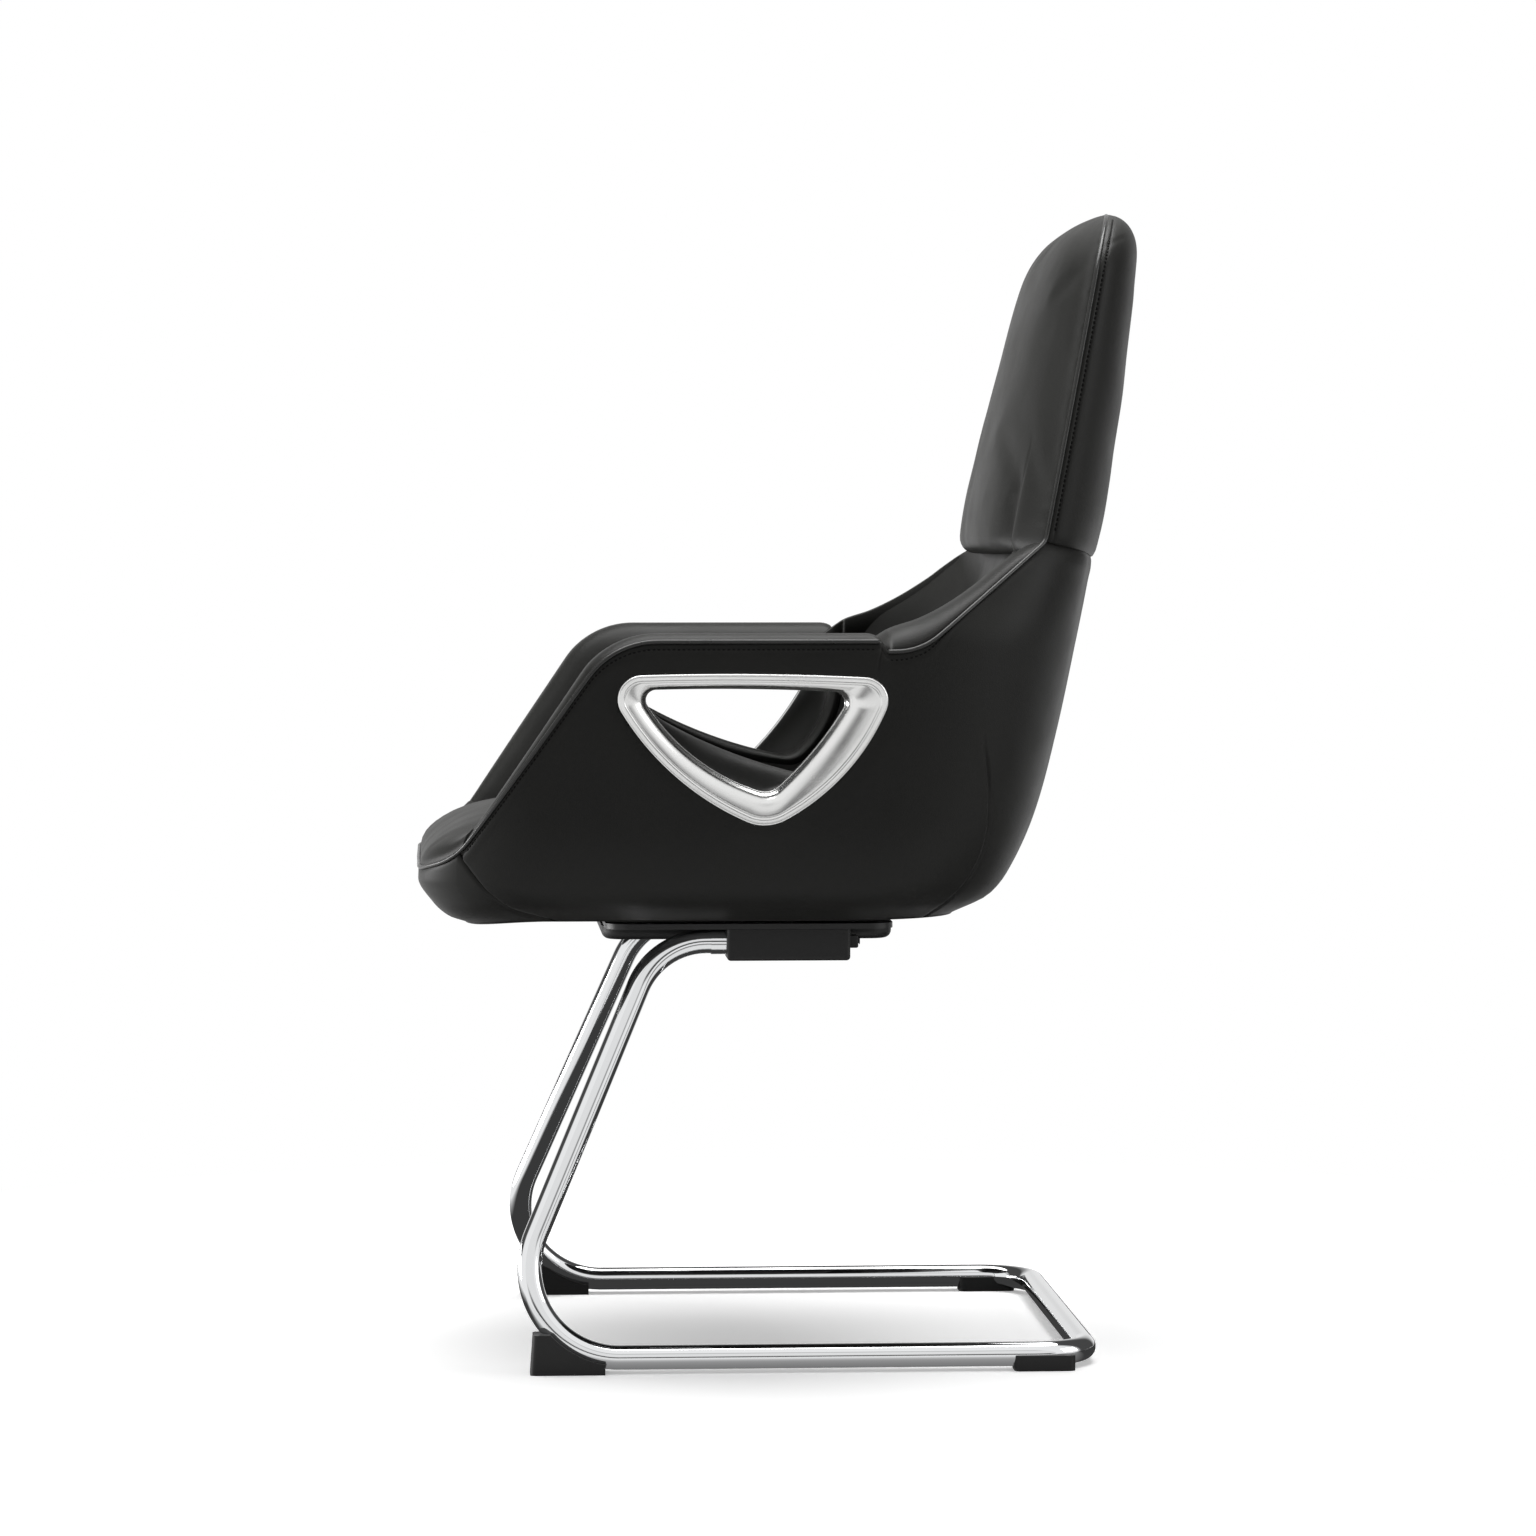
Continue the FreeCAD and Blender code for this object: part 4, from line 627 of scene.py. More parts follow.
def ringMiddle():
    # Half width at the ring's middle, on the chord of the skin from the ring's lower edge to its upper edge.
    below, above = ringPlane["below"], ringPlane["above"]
    low, high = (float(skinX(0.0, ringPlane["z"] + rise)) for rise in (-below, above))
    return low + (high - low) * below / (below + above)


ringX = ringMiddle()


def onArm(u, v, n):
    # From the ring's own plane (u rearwards, v up, n outwards) to the left arm.
    x = ringX + v * leanSin + n * leanCos
    return np.stack([x, ringPlane["y"] + u, ringPlane["z"] + v * leanCos - n * leanSin], -1)


def offArm(points):
    # The ring plane's own coordinates of points on the left arm.
    dx = points[..., 0] - ringX
    dz = points[..., 2] - ringPlane["z"]
    return points[..., 1] - ringPlane["y"], dx * leanSin + dz * leanCos, dx * leanCos - dz * leanSin


def outlineDistance(u, v, outline):
    # Distance to an outline, negative inside it.
    line = threeCorner(outline, 24)
    ahead = np.roll(line, -1, 0)
    p = np.stack([u, v], -1)[..., None, :]
    step = ahead - line
    share = np.clip(((p - line) * step).sum(-1) / (step * step).sum(-1), 0, 1)
    far = np.linalg.norm(p - line - share[..., None] * step, axis=-1).min(-1)
    above = (line[:, 1] > p[..., 1]) != (ahead[:, 1] > p[..., 1])
    rise = np.where(ahead[:, 1] == line[:, 1], 1e-9, ahead[:, 1] - line[:, 1])
    crossing = above & (p[..., 0] < line[:, 0] + (p[..., 1] - line[:, 1]) / rise * step[:, 0])
    return np.where(crossing.sum(-1) % 2 == 1, -far, far)


# Outer cover: both sides and the back in one skin

cover = {"leatherThickness": 2.4, "sideHeight": 250.0, "seamGap": 0.035,
         "edgeRoll": 2.2, "edgeWidth": 7.0, "lowRoll": 1.6, "lowWidth": 5.0,
         "swell": 0.6, "swellOffset": 13.0, "swellWidth": 6.0,
         "grooveDepth": 2.0, "grooveWidth": 1.1, "besideGroove": 0.45, "besideWidth": 8.0,
         "stitchGroove": 0.6, "stitchOffset": 6.2, "stitchWidth": 1.3, "stitchEnd": 3.2,
         "armEndTurn": 2.942, "armEndTop": 657.0, "armEndFoot": 600.0, "armEndY": 73.0, "armEndSlant": 0.2,
         "rearSeamTurn": 3.3, "rearSeamTop": 572.0, "seamsFromX": 120.0,
         "warpMost": 0.2, "warpWidth": 0.22, "warpTop": 238.0,
         "ringTuck": 11.0, "ringSeat": 0.4, "ringCut": -6.5, "ringReach": (190.0, 130.0)}
tubMiddle = np.array([0, -20.0, 560.0])
rearSeamY = curve((402, 121.5), (440, 157), (470, 170), (492, 173), (530, 171.5), (572, 166), (760, 166))


def armEndSeamY(z):
    # The seam below the rear end of the arm strip slants forwards as it goes down.
    return cover["armEndY"] - np.clip(652 - z, 0, 60) * cover["armEndSlant"]


def grooved(d):
    # A stitched-down seam: a narrow valley between two faint swells.
    beside = cover["besideGroove"] * np.exp(-(d / cover["besideWidth"]) ** 2)
    return beside - cover["grooveDepth"] * np.exp(-(d / cover["grooveWidth"]) ** 2)


def coverSpan(fold):
    # Heights of the cover's lower edge (apron seam, then underside) and of its top piping.
    return np.where(fold < apronTurns[1], apronTop(fold), 0), coverTop(fold)


def outerCover():
    # Grid of turn by share of height. Its columns are drawn over to the rear seam, edges and seams press in
    # along the normals, and the skin falls to the ring's plane under the ring.
    seam = cover["rearSeamTurn"]
    first = float(apronTurns[0]) + cover["seamGap"]
    left = spread(first, 5, 0.02, [first, cover["armEndTurn"], seam], 0.0028)
    turn = np.concatenate([left, 10 - left[-2::-1]])
    share = spread(0, 1, 1 / 62, [0, 1, 1 - cover["stitchOffset"] / cover["sideHeight"]], 0.0026)
    t, v = np.meshgrid(turn, share)
    fold = foldedTurn(t)
    low, high = coverSpan(fold)
    h = low + v * (high - low)
    wanted = skinTurn(rearSeamY(h + shell["baseZ"]), h) - seam
    warp = np.clip(wanted, -cover["warpMost"], cover["warpMost"]) * ease((cover["warpTop"] - h) / 60)
    fold = fold + warp * np.exp(-((fold - seam) / cover["warpWidth"]) ** 2) * (fold < 4.9)
    low, high = coverSpan(fold)
    points = skin(np.where(t > 5, 10 - fold, fold), low + v * (high - low))
    out = outwards(points, tubMiddle)
    toTop = (1 - v) * (high - low)
    toLow = np.where(fold < apronTurns[1], v * (high - low), 99)
    move = rolled(toTop, cover["edgeWidth"], cover["edgeRoll"])
    move += rolled(toLow, cover["lowWidth"], cover["lowRoll"])
    move += cover["swell"] * np.exp(-((toTop - cover["swellOffset"]) / cover["swellWidth"]) ** 2)
    stitched = np.exp(-((toTop - cover["stitchOffset"]) / cover["stitchWidth"]) ** 2)
    move -= cover["stitchGroove"] * stitched * (fold < cover["stitchEnd"])
    x, y, z = np.moveaxis(points, -1, 0)
    rear = grooved((y - rearSeamY(z)) * 0.9) * ease((cover["rearSeamTop"] - z) / 30)
    armEnd = grooved(y - armEndSeamY(z)) * ease((z - cover["armEndFoot"]) / 20)
    armEnd = armEnd * ease((cover["armEndTop"] - z) / 4)
    move += (rear + armEnd) * (np.abs(x) > cover["seamsFromX"])
    points = points + out * move[..., None]
    leftForm = points.copy()
    leftForm[..., 0] = np.abs(points[..., 0])
    u, w, n = offArm(leftForm)
    reachU, reachV = cover["ringReach"]
    byRing = (np.abs(u) < reachU) & (np.abs(w) < reachV) & (leftForm[..., 0] > 200)
    far = np.full(u.shape, 99.0)
    far[byRing] = outlineDistance(u[byRing], w[byRing], ringOuter)
    under = np.where(far > 0, np.exp(-(far / cover["ringTuck"]) ** 2), 1.0)
    sink = (n - cover["ringSeat"]) * under * byRing
    points[..., 0] -= sink * leanCos * np.sign(points[..., 0])
    points[..., 2] += sink * leanSin
    faces = turned(points, facesBeyond(far, cover["ringCut"]), tubMiddle)
    stands = ["left_side_panel", "right_side_panel", "outer_back"]
    thicken(padPiece("outerCover", points, faces, stands), cover["leatherThickness"])


outerCover()
print("outer cover made")


# Front apron

apron = {"leatherThickness": 2.4, "sag": 5.5, "belly": 2.0, "roll": 1.8, "rollWidth": 5.0, "corner": 1.52,
         "fade": 0.7}
apronLast = float(apronTurns[1]) - 0.02
noseMiddle = np.array([0, 0, 440.0])


def apronMiddle(fold):
    # 1 across the middle of the apron, falling to 0 at its side seams.
    return ease((apronLast - fold) / apron["fade"])


def frontApron():
    # Grid of turn by share of height, from the underside to the nose piping and apron seam. Its middle sags.
    spots = [-apronLast, apronLast, -apron["corner"], apron["corner"]]
    turn = spread(-apronLast, apronLast, 0.03, spots, 0.004)
    t, v = np.meshgrid(turn, spread(0, 1, 1 / 24, [0, 1], 0.012))
    fold = np.abs(t)
    high = np.where(fold < apronTurns[0], noseTop(fold), apronTop(fold))
    points = skin(t, v * high)
    move = rolled((1 - v) * high, apron["rollWidth"], apron["roll"])
    points = points + outwards(points, noseMiddle) * move[..., None]
    middle = apronMiddle(fold)
    points[..., 2] -= apron["sag"] * (1 - v) ** 1.3 * middle
    points[..., 1] -= apron["belly"] * np.sin(np.pi * v) * middle
    faces = turned(points, gridFaces(*points.shape[:2]), noseMiddle)
    thicken(padPiece("frontApron", points, faces, ["front_apron"]), apron["leatherThickness"])


hem = {"width": 27.0, "leatherThickness": 1.2, "drop": 0.7}


def turnedHem():
    # Leather turned under the seat board: a flat band inwards from the lower edge of the cover and the apron.
    turn = np.linspace(0, 10, 400, endpoint=False)
    edge = skin(turn, np.zeros_like(turn))
    along = unit(np.roll(edge, -1, 0) - np.roll(edge, 1, 0))
    inwards = np.stack([-along[:, 1], along[:, 0], 0 * turn], -1) * hem["width"]
    up = np.array([0, 0, 1.0])
    sag = apron["sag"] * apronMiddle(foldedTurn(turn))[:, None] * up
    edge = edge - hem["drop"] * up - sag
    lower = [edge, edge + inwards * 0.5 + sag * 0.7, edge + inwards + sag]
    section = np.stack(lower + [p + hem["leatherThickness"] * up for p in reversed(lower)], 1)
    faces = turned(section, gridFaces(*section.shape[:2], wrapRows=True, wrapColumns=True))
    putPiece("turnedHem", section, faces, leather)


frontApron()
turnedHem()
print("front apron and hem made")


# Inner form: arm linings and lower back

inner = {"corner": 110.0, "padding": 14.0, "footH": 62.0, "front": 20.0, "frontCorner": 53.0,
         "frontY": -262.0, "endY": 73.0, "holeGap": 2.5, "hollow": 2.0, "lap": 1.5, "leastHeight": 12.0,
         "stripInset": 2.4}
lowBack = {"lumbarSwell": 7.0, "lumbarZ": 560.0, "lumbarHeight": 60.0, "swingFrom": 0.4, "swingPower": 1.8,
           "crestTurns": (2, 3, 3.9, 4.2, 5), "crestPlaces": (60, 116, 212, 226, 226),
           "headTurns": (3.9, 4.3), "headHeights": (744, 737)}
crestLine = curve((50, 646), (60, 651), (72, 660), (82, 666), (106, 674), (130, 685.5), (162, 706),
                  (178, 718.5), (194, 730), (210, 739), (226, 745), (236, 747))
crestInset = curve((50, 50), (90, 47), (130, 44), (170, 40), (205, 34), (225, 24), (236, 20))


def liningX(h):
    # Half width between the arm linings.
    return shell["half"] - sideInset(h) - shell["lining"]


def innerSkin(fold, h, frontY):
    # Inner face of the tub's left half by fold: 2-3 side from frontY, 3-4 rear corner arc, 4-5 flat back.
    w = liningX(h)
    y1 = shell["backY"] - innerBack(h)
    r = inner["corner"]
    b = np.clip(fold - 3, 0, 1) * np.pi / 2
    stretch = [fold < 3, fold < 4]
    x = np.select(stretch, [w, w - r + r * np.cos(b)], (5 - fold) * (w - r))
    y = np.select(stretch, [frontY + (fold - 2) * (y1 - r - frontY), y1 - r + r * np.sin(b)], y1)
    return np.stack([x, y, shell["baseZ"] + h], -1)


# The arm strip by place along the arm: width, and how far its inner edge lies below the piping
stripWidth = curve((-303, 8), (-290, 24), (-270, 42), (-245, 53), (-215, 57), (-195, 57.6), (80, 57.6))
stripDrop = curve((-303, 12), (-285, 26), (-250, 40), (-205, 40), (-175, 28), (-140, 17), (80, 15))


def stripBase():
    # Side view line of the strip, with its upward direction and its outer edge.
    line = roundedPath([(-304, 461), (-165, 655), (72, 655)], [75], 3)
    along = unit(np.gradient(line, axis=0))
    up = np.stack([0 * line[:, 0], -along[:, 1], along[:, 0]], -1)
    base = np.stack([skinX(*line.T) - inner["stripInset"], *line.T], -1)
    return line, up, base


def stripInnerEdge():
    # The outer edge moved in by the width and down by the drop, with y always rising.
    line, up, base = stripBase()
    edge = base - up * stripDrop(line[:, 0])[:, None]
    edge[:, 0] -= stripWidth(line[:, 0])
    edge[:, 1] = np.maximum.accumulate(edge[:, 1] + 0.01 * np.arange(len(edge)))
    return edge


innerEdge = stripInnerEdge()


def liningSpan(y):
    # Heights of the lower and upper edge of the arm lining.
    top = np.interp(y, innerEdge[:, 1], innerEdge[:, 2]) + inner["lap"] - shell["baseZ"]
    return np.minimum(inner["footH"], top - inner["leastHeight"]), top


def armWall(y, h):
    # Face of the arm lining at a side view point: rounded in at the front, its top swung out to the strip.
    low, top = liningSpan(y)
    v = np.clip((h - low) / (top - low), 0, 1)
    r = inner["frontCorner"]
    ahead = np.maximum(shell["noseY"] + inner["front"] + r - y, 0)
    wall = liningX(h) + np.sqrt(np.maximum(r ** 2 - ahead ** 2, 0)) - r
    edge = np.interp(y, innerEdge[:, 1], innerEdge[:, 0])
    return wall + (edge - wall) * ease((v - 0.55) / 0.45) - inner["hollow"] * np.sin(np.pi * v)


def armLining():
    # Grid of y by share of height on the inner wall, with rolled edges, cut away at the hole.
    ends = [inner["frontY"], inner["endY"]]
    y, v = np.meshgrid(spread(*ends, 5, ends, 1.2), spread(0, 1, 1 / 60, [0, 1], 0.006))
    low, top = liningSpan(y)
    h = low + v * (top - low)
    x = armWall(y, h) - rolled(inner["endY"] - y, 5, 2.0) - rolled((1 - v) * (top - low), 5, 1.5)
    front = np.stack([x, y, shell["baseZ"] + h], -1)
    u, w, n = offArm(front)
    faces = facesBeyond(outlineDistance(u, w, holeInner), inner["holeGap"])
    for side, form in bothSides(front):
        away = [1000 * np.sign(form[0, 0, 0]), 0, 560]
        facing = turned(form, faces, away)
        piece = padPiece(side + "ArmLining", form, facing, [side + "_arm_lining"])
        thicken(piece, inner["padding"])


def lowerBack():
    # Grid of turn by share of height on the inner wall; its top edge swings out to the crest of the wing.
    left = spread(2, 5, 0.045, [2], 0.006)
    turn = np.concatenate([left, 10 - left[-2::-1]])
    t, v = np.meshgrid(turn, spread(0, 1, 1 / 56, [1], 0.004))
    fold = foldedTurn(t)
    crestY = np.interp(fold, lowBack["crestTurns"], lowBack["crestPlaces"])
    underHead = np.interp(fold, lowBack["headTurns"], lowBack["headHeights"])
    topZ = np.where(fold < lowBack["headTurns"][0], crestLine(crestY), underHead)
    low = inner["footH"]
    h = low + v * (topZ - shell["baseZ"] - low)
    wall = innerSkin(fold, h, 76 - 16 * ease((h - 222) / 16))
    edgeX = skinX(crestY, np.interp(crestY, wingLine[:, 0], wingLine[:, 1])) - crestInset(crestY)
    edge = np.stack([edgeX, crestY, topZ], -1)
    swing = np.clip((v - lowBack["swingFrom"]) / (1 - lowBack["swingFrom"]), 0, 1) ** lowBack["swingPower"]
    swing = swing * np.interp(fold, [3.7, 4.05], [1, 0])
    points = wall + (edge - wall) * swing[..., None]
    points[..., 2] = shell["baseZ"] + h
    bulge = np.exp(-((points[..., 2] - lowBack["lumbarZ"]) / lowBack["lumbarHeight"]) ** 2)
    points[..., 1] -= lowBack["lumbarSwell"] * bulge * ease((fold - 3.2) / 1.2)
    points[..., 0] *= np.where(t > 5, -1.0, 1.0)
    back = points.copy()
    back[..., :2] += unit(points[..., :2] - np.array([0, -60.0])) * inner["padding"]
    closed = slab(points, back)
    padPiece("lowerBackCushion", closed, loftFaces(closed), ["lower_back_cushion"])


armLining()
lowerBack()
print("linings and lower back made")


# Arm strips and wing rolls

strip = {"crown": 7.0, "endRound": 14.0, "columns": 44, "foot": (-3.0, -10.0), "sag": 3.0,
         "across": (0, 0.02, 0.06, 0.13, 0.24, 0.38, 0.54, 0.68, 0.8, 0.89, 0.955, 1.0),
         "rise": (-0.45, 0.1, 0.42, 0.72, 0.93, 1.0, 0.93, 0.72, 0.4, 0.12, 0, 0),
         "fall": (0, 0, 0, 0, 0, 0, 0.01, 0.05, 0.16, 0.38, 0.68, 1.0)}


def armStrips():
    # Crowned section that falls away to its inner edge, carried along the arm piping, with a rounded end.
    line, up, base = stripBase()
    run = runAlong(line)
    y = line[:, 0]
    toEnd = np.clip((run[-1] - run) / strip["endRound"], 0, 1)
    shrink = np.sqrt(np.clip(1 - (1 - toEnd) ** 2, 0.02, 1))
    width = stripWidth(y) * (0.85 + 0.15 * shrink)
    crown = strip["crown"] * np.clip(0.2 + run / 260, 0, 1) * shrink
    across, rise, fall = (through(strip[k], strip["columns"]) for k in ("across", "rise", "fall"))
    over = np.stack([-across * width[:, None], rise * crown[:, None] - fall * stripDrop(y)[:, None]], -1)
    share = np.linspace(0, 1, strip["columns"])[:, None]
    under = over[:, -1:] * (1 - share) + np.array(strip["foot"]) * share
    under = under - np.array([0, strip["sag"]]) * np.sin(np.pi * share)
    for side, form in bothSides(carried(base, np.concatenate([over, under], 1), up[:, None])):
        padPiece(side + "ArmStrip", form, loftFaces(form), [side + "_arm_pad"])


roll = {"foot": -9.0, "tuck": 6.0, "inset": 3.0, "leastRise": 2.0, "closeX": -6.0, "columns": 40,
        "path": [(52, 641), (74, 646), (106, 646), (226, 743.8)], "bends": [60, 60],
        "inwards": (0, 0.02, 0.07, 0.15, 0.27, 0.42, 0.58, 0.74, 0.88, 0.96, 1.0, 1.01),
        "upwards": (0, 0.16, 0.34, 0.52, 0.69, 0.83, 0.925, 0.975, 1.0, 0.995, 0.97, 0.9)}


def wingRolls():
    # Section from the piping up over the crest and down behind it, carried along the wing piping.
    y, z = roundedPath(roll["path"], roll["bends"], 3).T
    rise = np.maximum(crestLine(y) - z, roll["leastRise"])
    inwards, upwards = (through(roll[k], roll["columns"]) for k in ("inwards", "upwards"))
    over = np.stack([-inwards * crestInset(y)[:, None], upwards * rise[:, None]], -1)
    foot = np.full(over.shape[:2], roll["foot"])
    close = np.stack([np.minimum(over[..., 0], roll["closeX"]), foot], -1)[:, ::-1]
    base = np.stack([skinX(y, z) - roll["inset"] - roll["tuck"] * ease((82 - y) / 14), y, z], -1)
    for side, form in bothSides(carried(base, np.concatenate([over, close], 1), np.array([0, 0, 1.0]))):
        padPiece(side + "WingRoll", form, loftFaces(form), [side + "_wing_roll"])


armStrips()
wingRolls()
print("arm strips and wing rolls made")


# Head: front cushion and rear shell

head = {"foot": 731.0, "seam": 743.0, "top": 1046.0, "round": 63.0, "half": 238.0, "topHalf": 212.0,
        "pipingY": 225.0, "lean": 0.195, "topLean": 19.0, "crease": 0.768, "creaseTop": 830.0, "gather": 0.9,
        "seamSlope": 0.22, "blendZ": 752.0, "blendHeight": 85.0, "pressure": 3.0, "cap": 4.0}
frontDepth = curve((731, 47), (751, 49.5), (781, 50.4), (826, 47.5), (871, 45), (916, 42), (961, 39.5),
                   (991, 36.5), (1021, 34), (1036, 26), (1048, 22))
rearDepth = curve((720, 67), (766, 69.5), (797, 68.5), (827, 66.6), (872, 65), (917, 61), (962, 57.5),
                  (992, 54.5), (1022, 57), (1048, 59))
upperProfile = curve((0, 0), (0.3, 0.04), (0.5, 0.13), (0.65, 0.27), (0.75, 0.44), (0.82, 0.62), (0.87, 0.75),
                     (0.91, 0.83), (0.95, 0.88), (0.985, 0.94), (1, 1))
footProfile = curve((0, 0), (0.35, 0.05), (0.55, 0.14), (0.66, 0.26), (0.73, 0.41), (0.752, 0.48),
                    (0.768, 0.5), (0.785, 0.47), (0.82, 0.5), (0.86, 0.6), (0.9, 0.72), (0.94, 0.82),
                    (0.97, 0.89), (0.99, 0.95), (1, 1))


def topRound(z):
    # Quarter circle at the top of the head: 1 below it, 0 at the top.
    q = np.clip((z - head["top"] + head["round"]) / head["round"], 0, 1)
    return np.sqrt(np.maximum(1 - q * q, 0))


def headHalf(z):
    # Half width at a height: it narrows upwards, then closes over the round top.
    share = np.clip((z - head["seam"]) / (head["top"] - head["seam"]), 0, 1)
    half = head["half"] + (head["topHalf"] - head["half"]) * share ** 1.6
    return half * (0.12 + 0.88 * topRound(z) ** 0.85)


def headPipingY(z):
    # The piping leans back with height, and more over the round top.
    return head["pipingY"] + head["lean"] * (z - head["seam"]) + head["topLean"] * (1 - topRound(z))


def headLevels(low, count, arcCount):
    # Heights of the rows: even up to the round top, then by angle.
    straight = np.linspace(low, head["top"] - head["round"], count, endpoint=False)
    angle = np.linspace(0, np.pi / 2, arcCount)
    return np.concatenate([straight, head["top"] - head["round"] * (1 - np.sin(angle))])


def headFront():
    # Grid of height by share of half width. Depth before the piping blends the foot profile into the upper.
    low, crease = head["foot"], head["crease"]
    levels = np.concatenate([low + np.array([0, 0.6, 1.8, 3.6, 6, 9, 12.5]), headLevels(low + 17, 44, 26)])
    z, a = np.meshgrid(levels, spread(-1, 1, 0.024, [-1, 1, -crease, crease], 0.005), indexing="ij")
    x = a * headHalf(z)
    side = np.abs(a)
    drop = footProfile(side)
    drop = drop + (upperProfile(side) - drop) * ease((z - head["blendZ"]) / head["blendHeight"])
    foot = 0.62 + 0.38 * np.sqrt(np.clip(1 - (1 - np.clip((z - low) / 16, 0, 1)) ** 2, 0, 1))
    depth = frontDepth(z) * topRound(z) * foot
    toPiping = (1 - side) * headHalf(z)
    gather = head["gather"] * np.exp(-toPiping / 12) * (1 - np.exp(-(toPiping / 3) ** 2))
    gather = gather * ripple(z, 5, (6.3, 8.1, 11.7, 17)) * topRound(z)
    front = np.stack([x, headPipingY(z) - depth * (1 - drop) - gather, z], -1)
    points = slab(front, np.stack([x * 0.995, headPipingY(z) + 0.6, z], -1))
    piece = padPiece("upperBackCushion", points, loftFaces(points), ["upper_back_cushion"])
    onCrease = (np.abs(side - crease) < 0.012) & (z < head["creaseTop"])
    inflate(piece, (side > 0.97) | (topRound(z) < 0.12) | (z < low + 4) | onCrease, head)


def rearSection(angle, z):
    # Super-ellipse behind the piping: flat back, well rounded sides.
    d = rearDepth(z) * topRound(z)
    x = headHalf(z) * np.sign(np.cos(angle)) * np.abs(np.cos(angle)) ** (2 / 2.4)
    return np.stack([x, headPipingY(z) + d * np.sin(angle), z], -1)


dart = {"z": 1001.0, "y": 263.0, "slope": 0.44, "depth": 1.0, "width": 1.4, "frontY": 270.0, "rearY": 312.0}


def headRear():
    # Grid of height by angle round the rear. The lower edge follows the slanting seam, and a dart presses in.
    low = head["seam"]
    levels = np.concatenate([low + np.array([0, 0.7, 1.6, 3, 5, 8]), headLevels(low + 12, 50, 40)])
    angles = spread(0, np.pi, 0.03, [0, np.pi, 0.09, np.pi - 0.09], 0.006)
    z, a = np.meshgrid(levels, angles, indexing="ij")
    share = (z - low) / (head["top"] - low)
    behind = rearSection(a, np.full_like(a, 735.0))[..., 1] - head["pipingY"]
    seam = low - head["seamSlope"] * behind
    z = seam + share * (head["top"] - seam)
    points = rearSection(a, z)
    x, y = points[..., 0], points[..., 1]
    out = unit(np.stack([x, y - 200, 10 * topRound(z)], -1))
    fromEdge = rearDepth(z) * np.abs(np.sin(a)) * topRound(z)
    move = rolled(fromEdge, 4, 1.4) - 0.7 * np.exp(-((fromEdge - 7) / 1.3) ** 2)
    move += rolled(share * 305, 7, 2.6)
    line = z - dart["z"] - dart["slope"] * (y - dart["y"])
    inDart = ease((y - dart["frontY"]) / 6) * ease((dart["rearY"] - y) / 12) * (np.abs(x) > 120)
    move -= dart["depth"] * np.exp(-(line / dart["width"]) ** 2) * inDart
    points = points + out * move[..., None]
    back = points.copy()
    back[..., 1] = headPipingY(z) + 0.4
    closed = slab(points, back)
    padPiece("upperBackShell", closed, loftFaces(closed), ["upper_back_shell"])


headFront()
headRear()
print("head made")


# Seat cushion

seat = {"crown": 9.0, "rear": 152.0, "floor": 436.0, "seamZ": 449.0, "sunk": 1.0, "span": 1.55,
        "topH": 95.0, "sideGap": 3.0, "rearNarrow": 40.0, "sideDrop": 16.0, "rearDrop": 26.0,
        "underShare": 0.9, "underSet": 8.0, "pressure": 3.5, "cap": 5.0}
noseProfile = curve((0, 449), (1.5, 456), (6, 465.5), (18, 477), (40, 490), (60, 496.5), (85, 499.5),
                    (160, 498.5), (300, 493.5), (420, 490), (520, 488))


def seatCushion():
    # Grid of share across by share back from the nose: rolls up over the front, falls away at sides and rear.
    k, s = np.meshgrid(spread(-1, 1, 0.03, [-1, 1], 0.006), spread(0, 1, 0.022, [0, 1], 0.004))
    t = seat["span"] * k
    edge = skin(t, noseTop(np.abs(t)))
    d = s * (seat["rear"] - edge[..., 1])
    y = edge[..., 1] + d
    wide = liningX(seat["topH"]) - seat["sideGap"] - seat["rearNarrow"] * ease((y - 60) / 120)
    x = edge[..., 0] * 0.992 + (k * wide - edge[..., 0]) * ease(d / 95)
    lift = (edge[..., 2] - seat["seamZ"]) * (1 - ease(d / 55))
    crown = seat["crown"] * np.abs(k) ** 2.4 * ease(d / 60)
    sides = seat["sideDrop"] * np.clip((np.abs(k) - 0.9) / 0.1, 0, 1) ** 2 * ease((d - 70) / 90)
    rear = seat["rearDrop"] * np.clip((s - 0.93) / 0.07, 0, 1) ** 2
    top = np.stack([x, y, noseProfile(d) - seat["sunk"] + lift - crown - sides - rear], -1)
    floor = np.full_like(x, seat["floor"])
    points = slab(top, np.stack([x * seat["underShare"], y + seat["underSet"] * (1 - s), floor], -1))
    piece = padPiece("seatCushion", points, loftFaces(points), ["seat_cushion"])
    inflate(piece, (np.abs(k) > 0.985) | (d < 2.5) | (s > 0.985), seat)


seatCushion()
print("seat made")


# Arm rings and the sleeves behind them

ring = {"lip": -6.9, "dishSteps": 26, "columns": 44,
        # Height above the panel, and how far out of the outline
        "rim": [(-1.0, 0.0), (2.6, 0.0), (3.6, -0.15), (4.4, -0.6), (4.85, -1.3), (5.0, -2.2), (5.0, -4.5),
                (4.97, -5.8), (4.55, -6.5)],
        "collar": [(-11.0, -0.6), (-11.5, -0.9), (-12.2, -0.9), (-12.8, -0.5), (-13.0, 0.4), (-12.6, 2.5),
                   (-9.0, 4.0), (-1.0, 6.0)]}
dishHeight = curve((0, 4.2), (0.06, 4.15), (0.2, 3.55), (0.4, 2.3), (0.6, 0.4), (0.78, -2.2), (0.9, -5.2),
                   (0.96, -8.0), (0.985, -9.6), (1.0, -10.6))


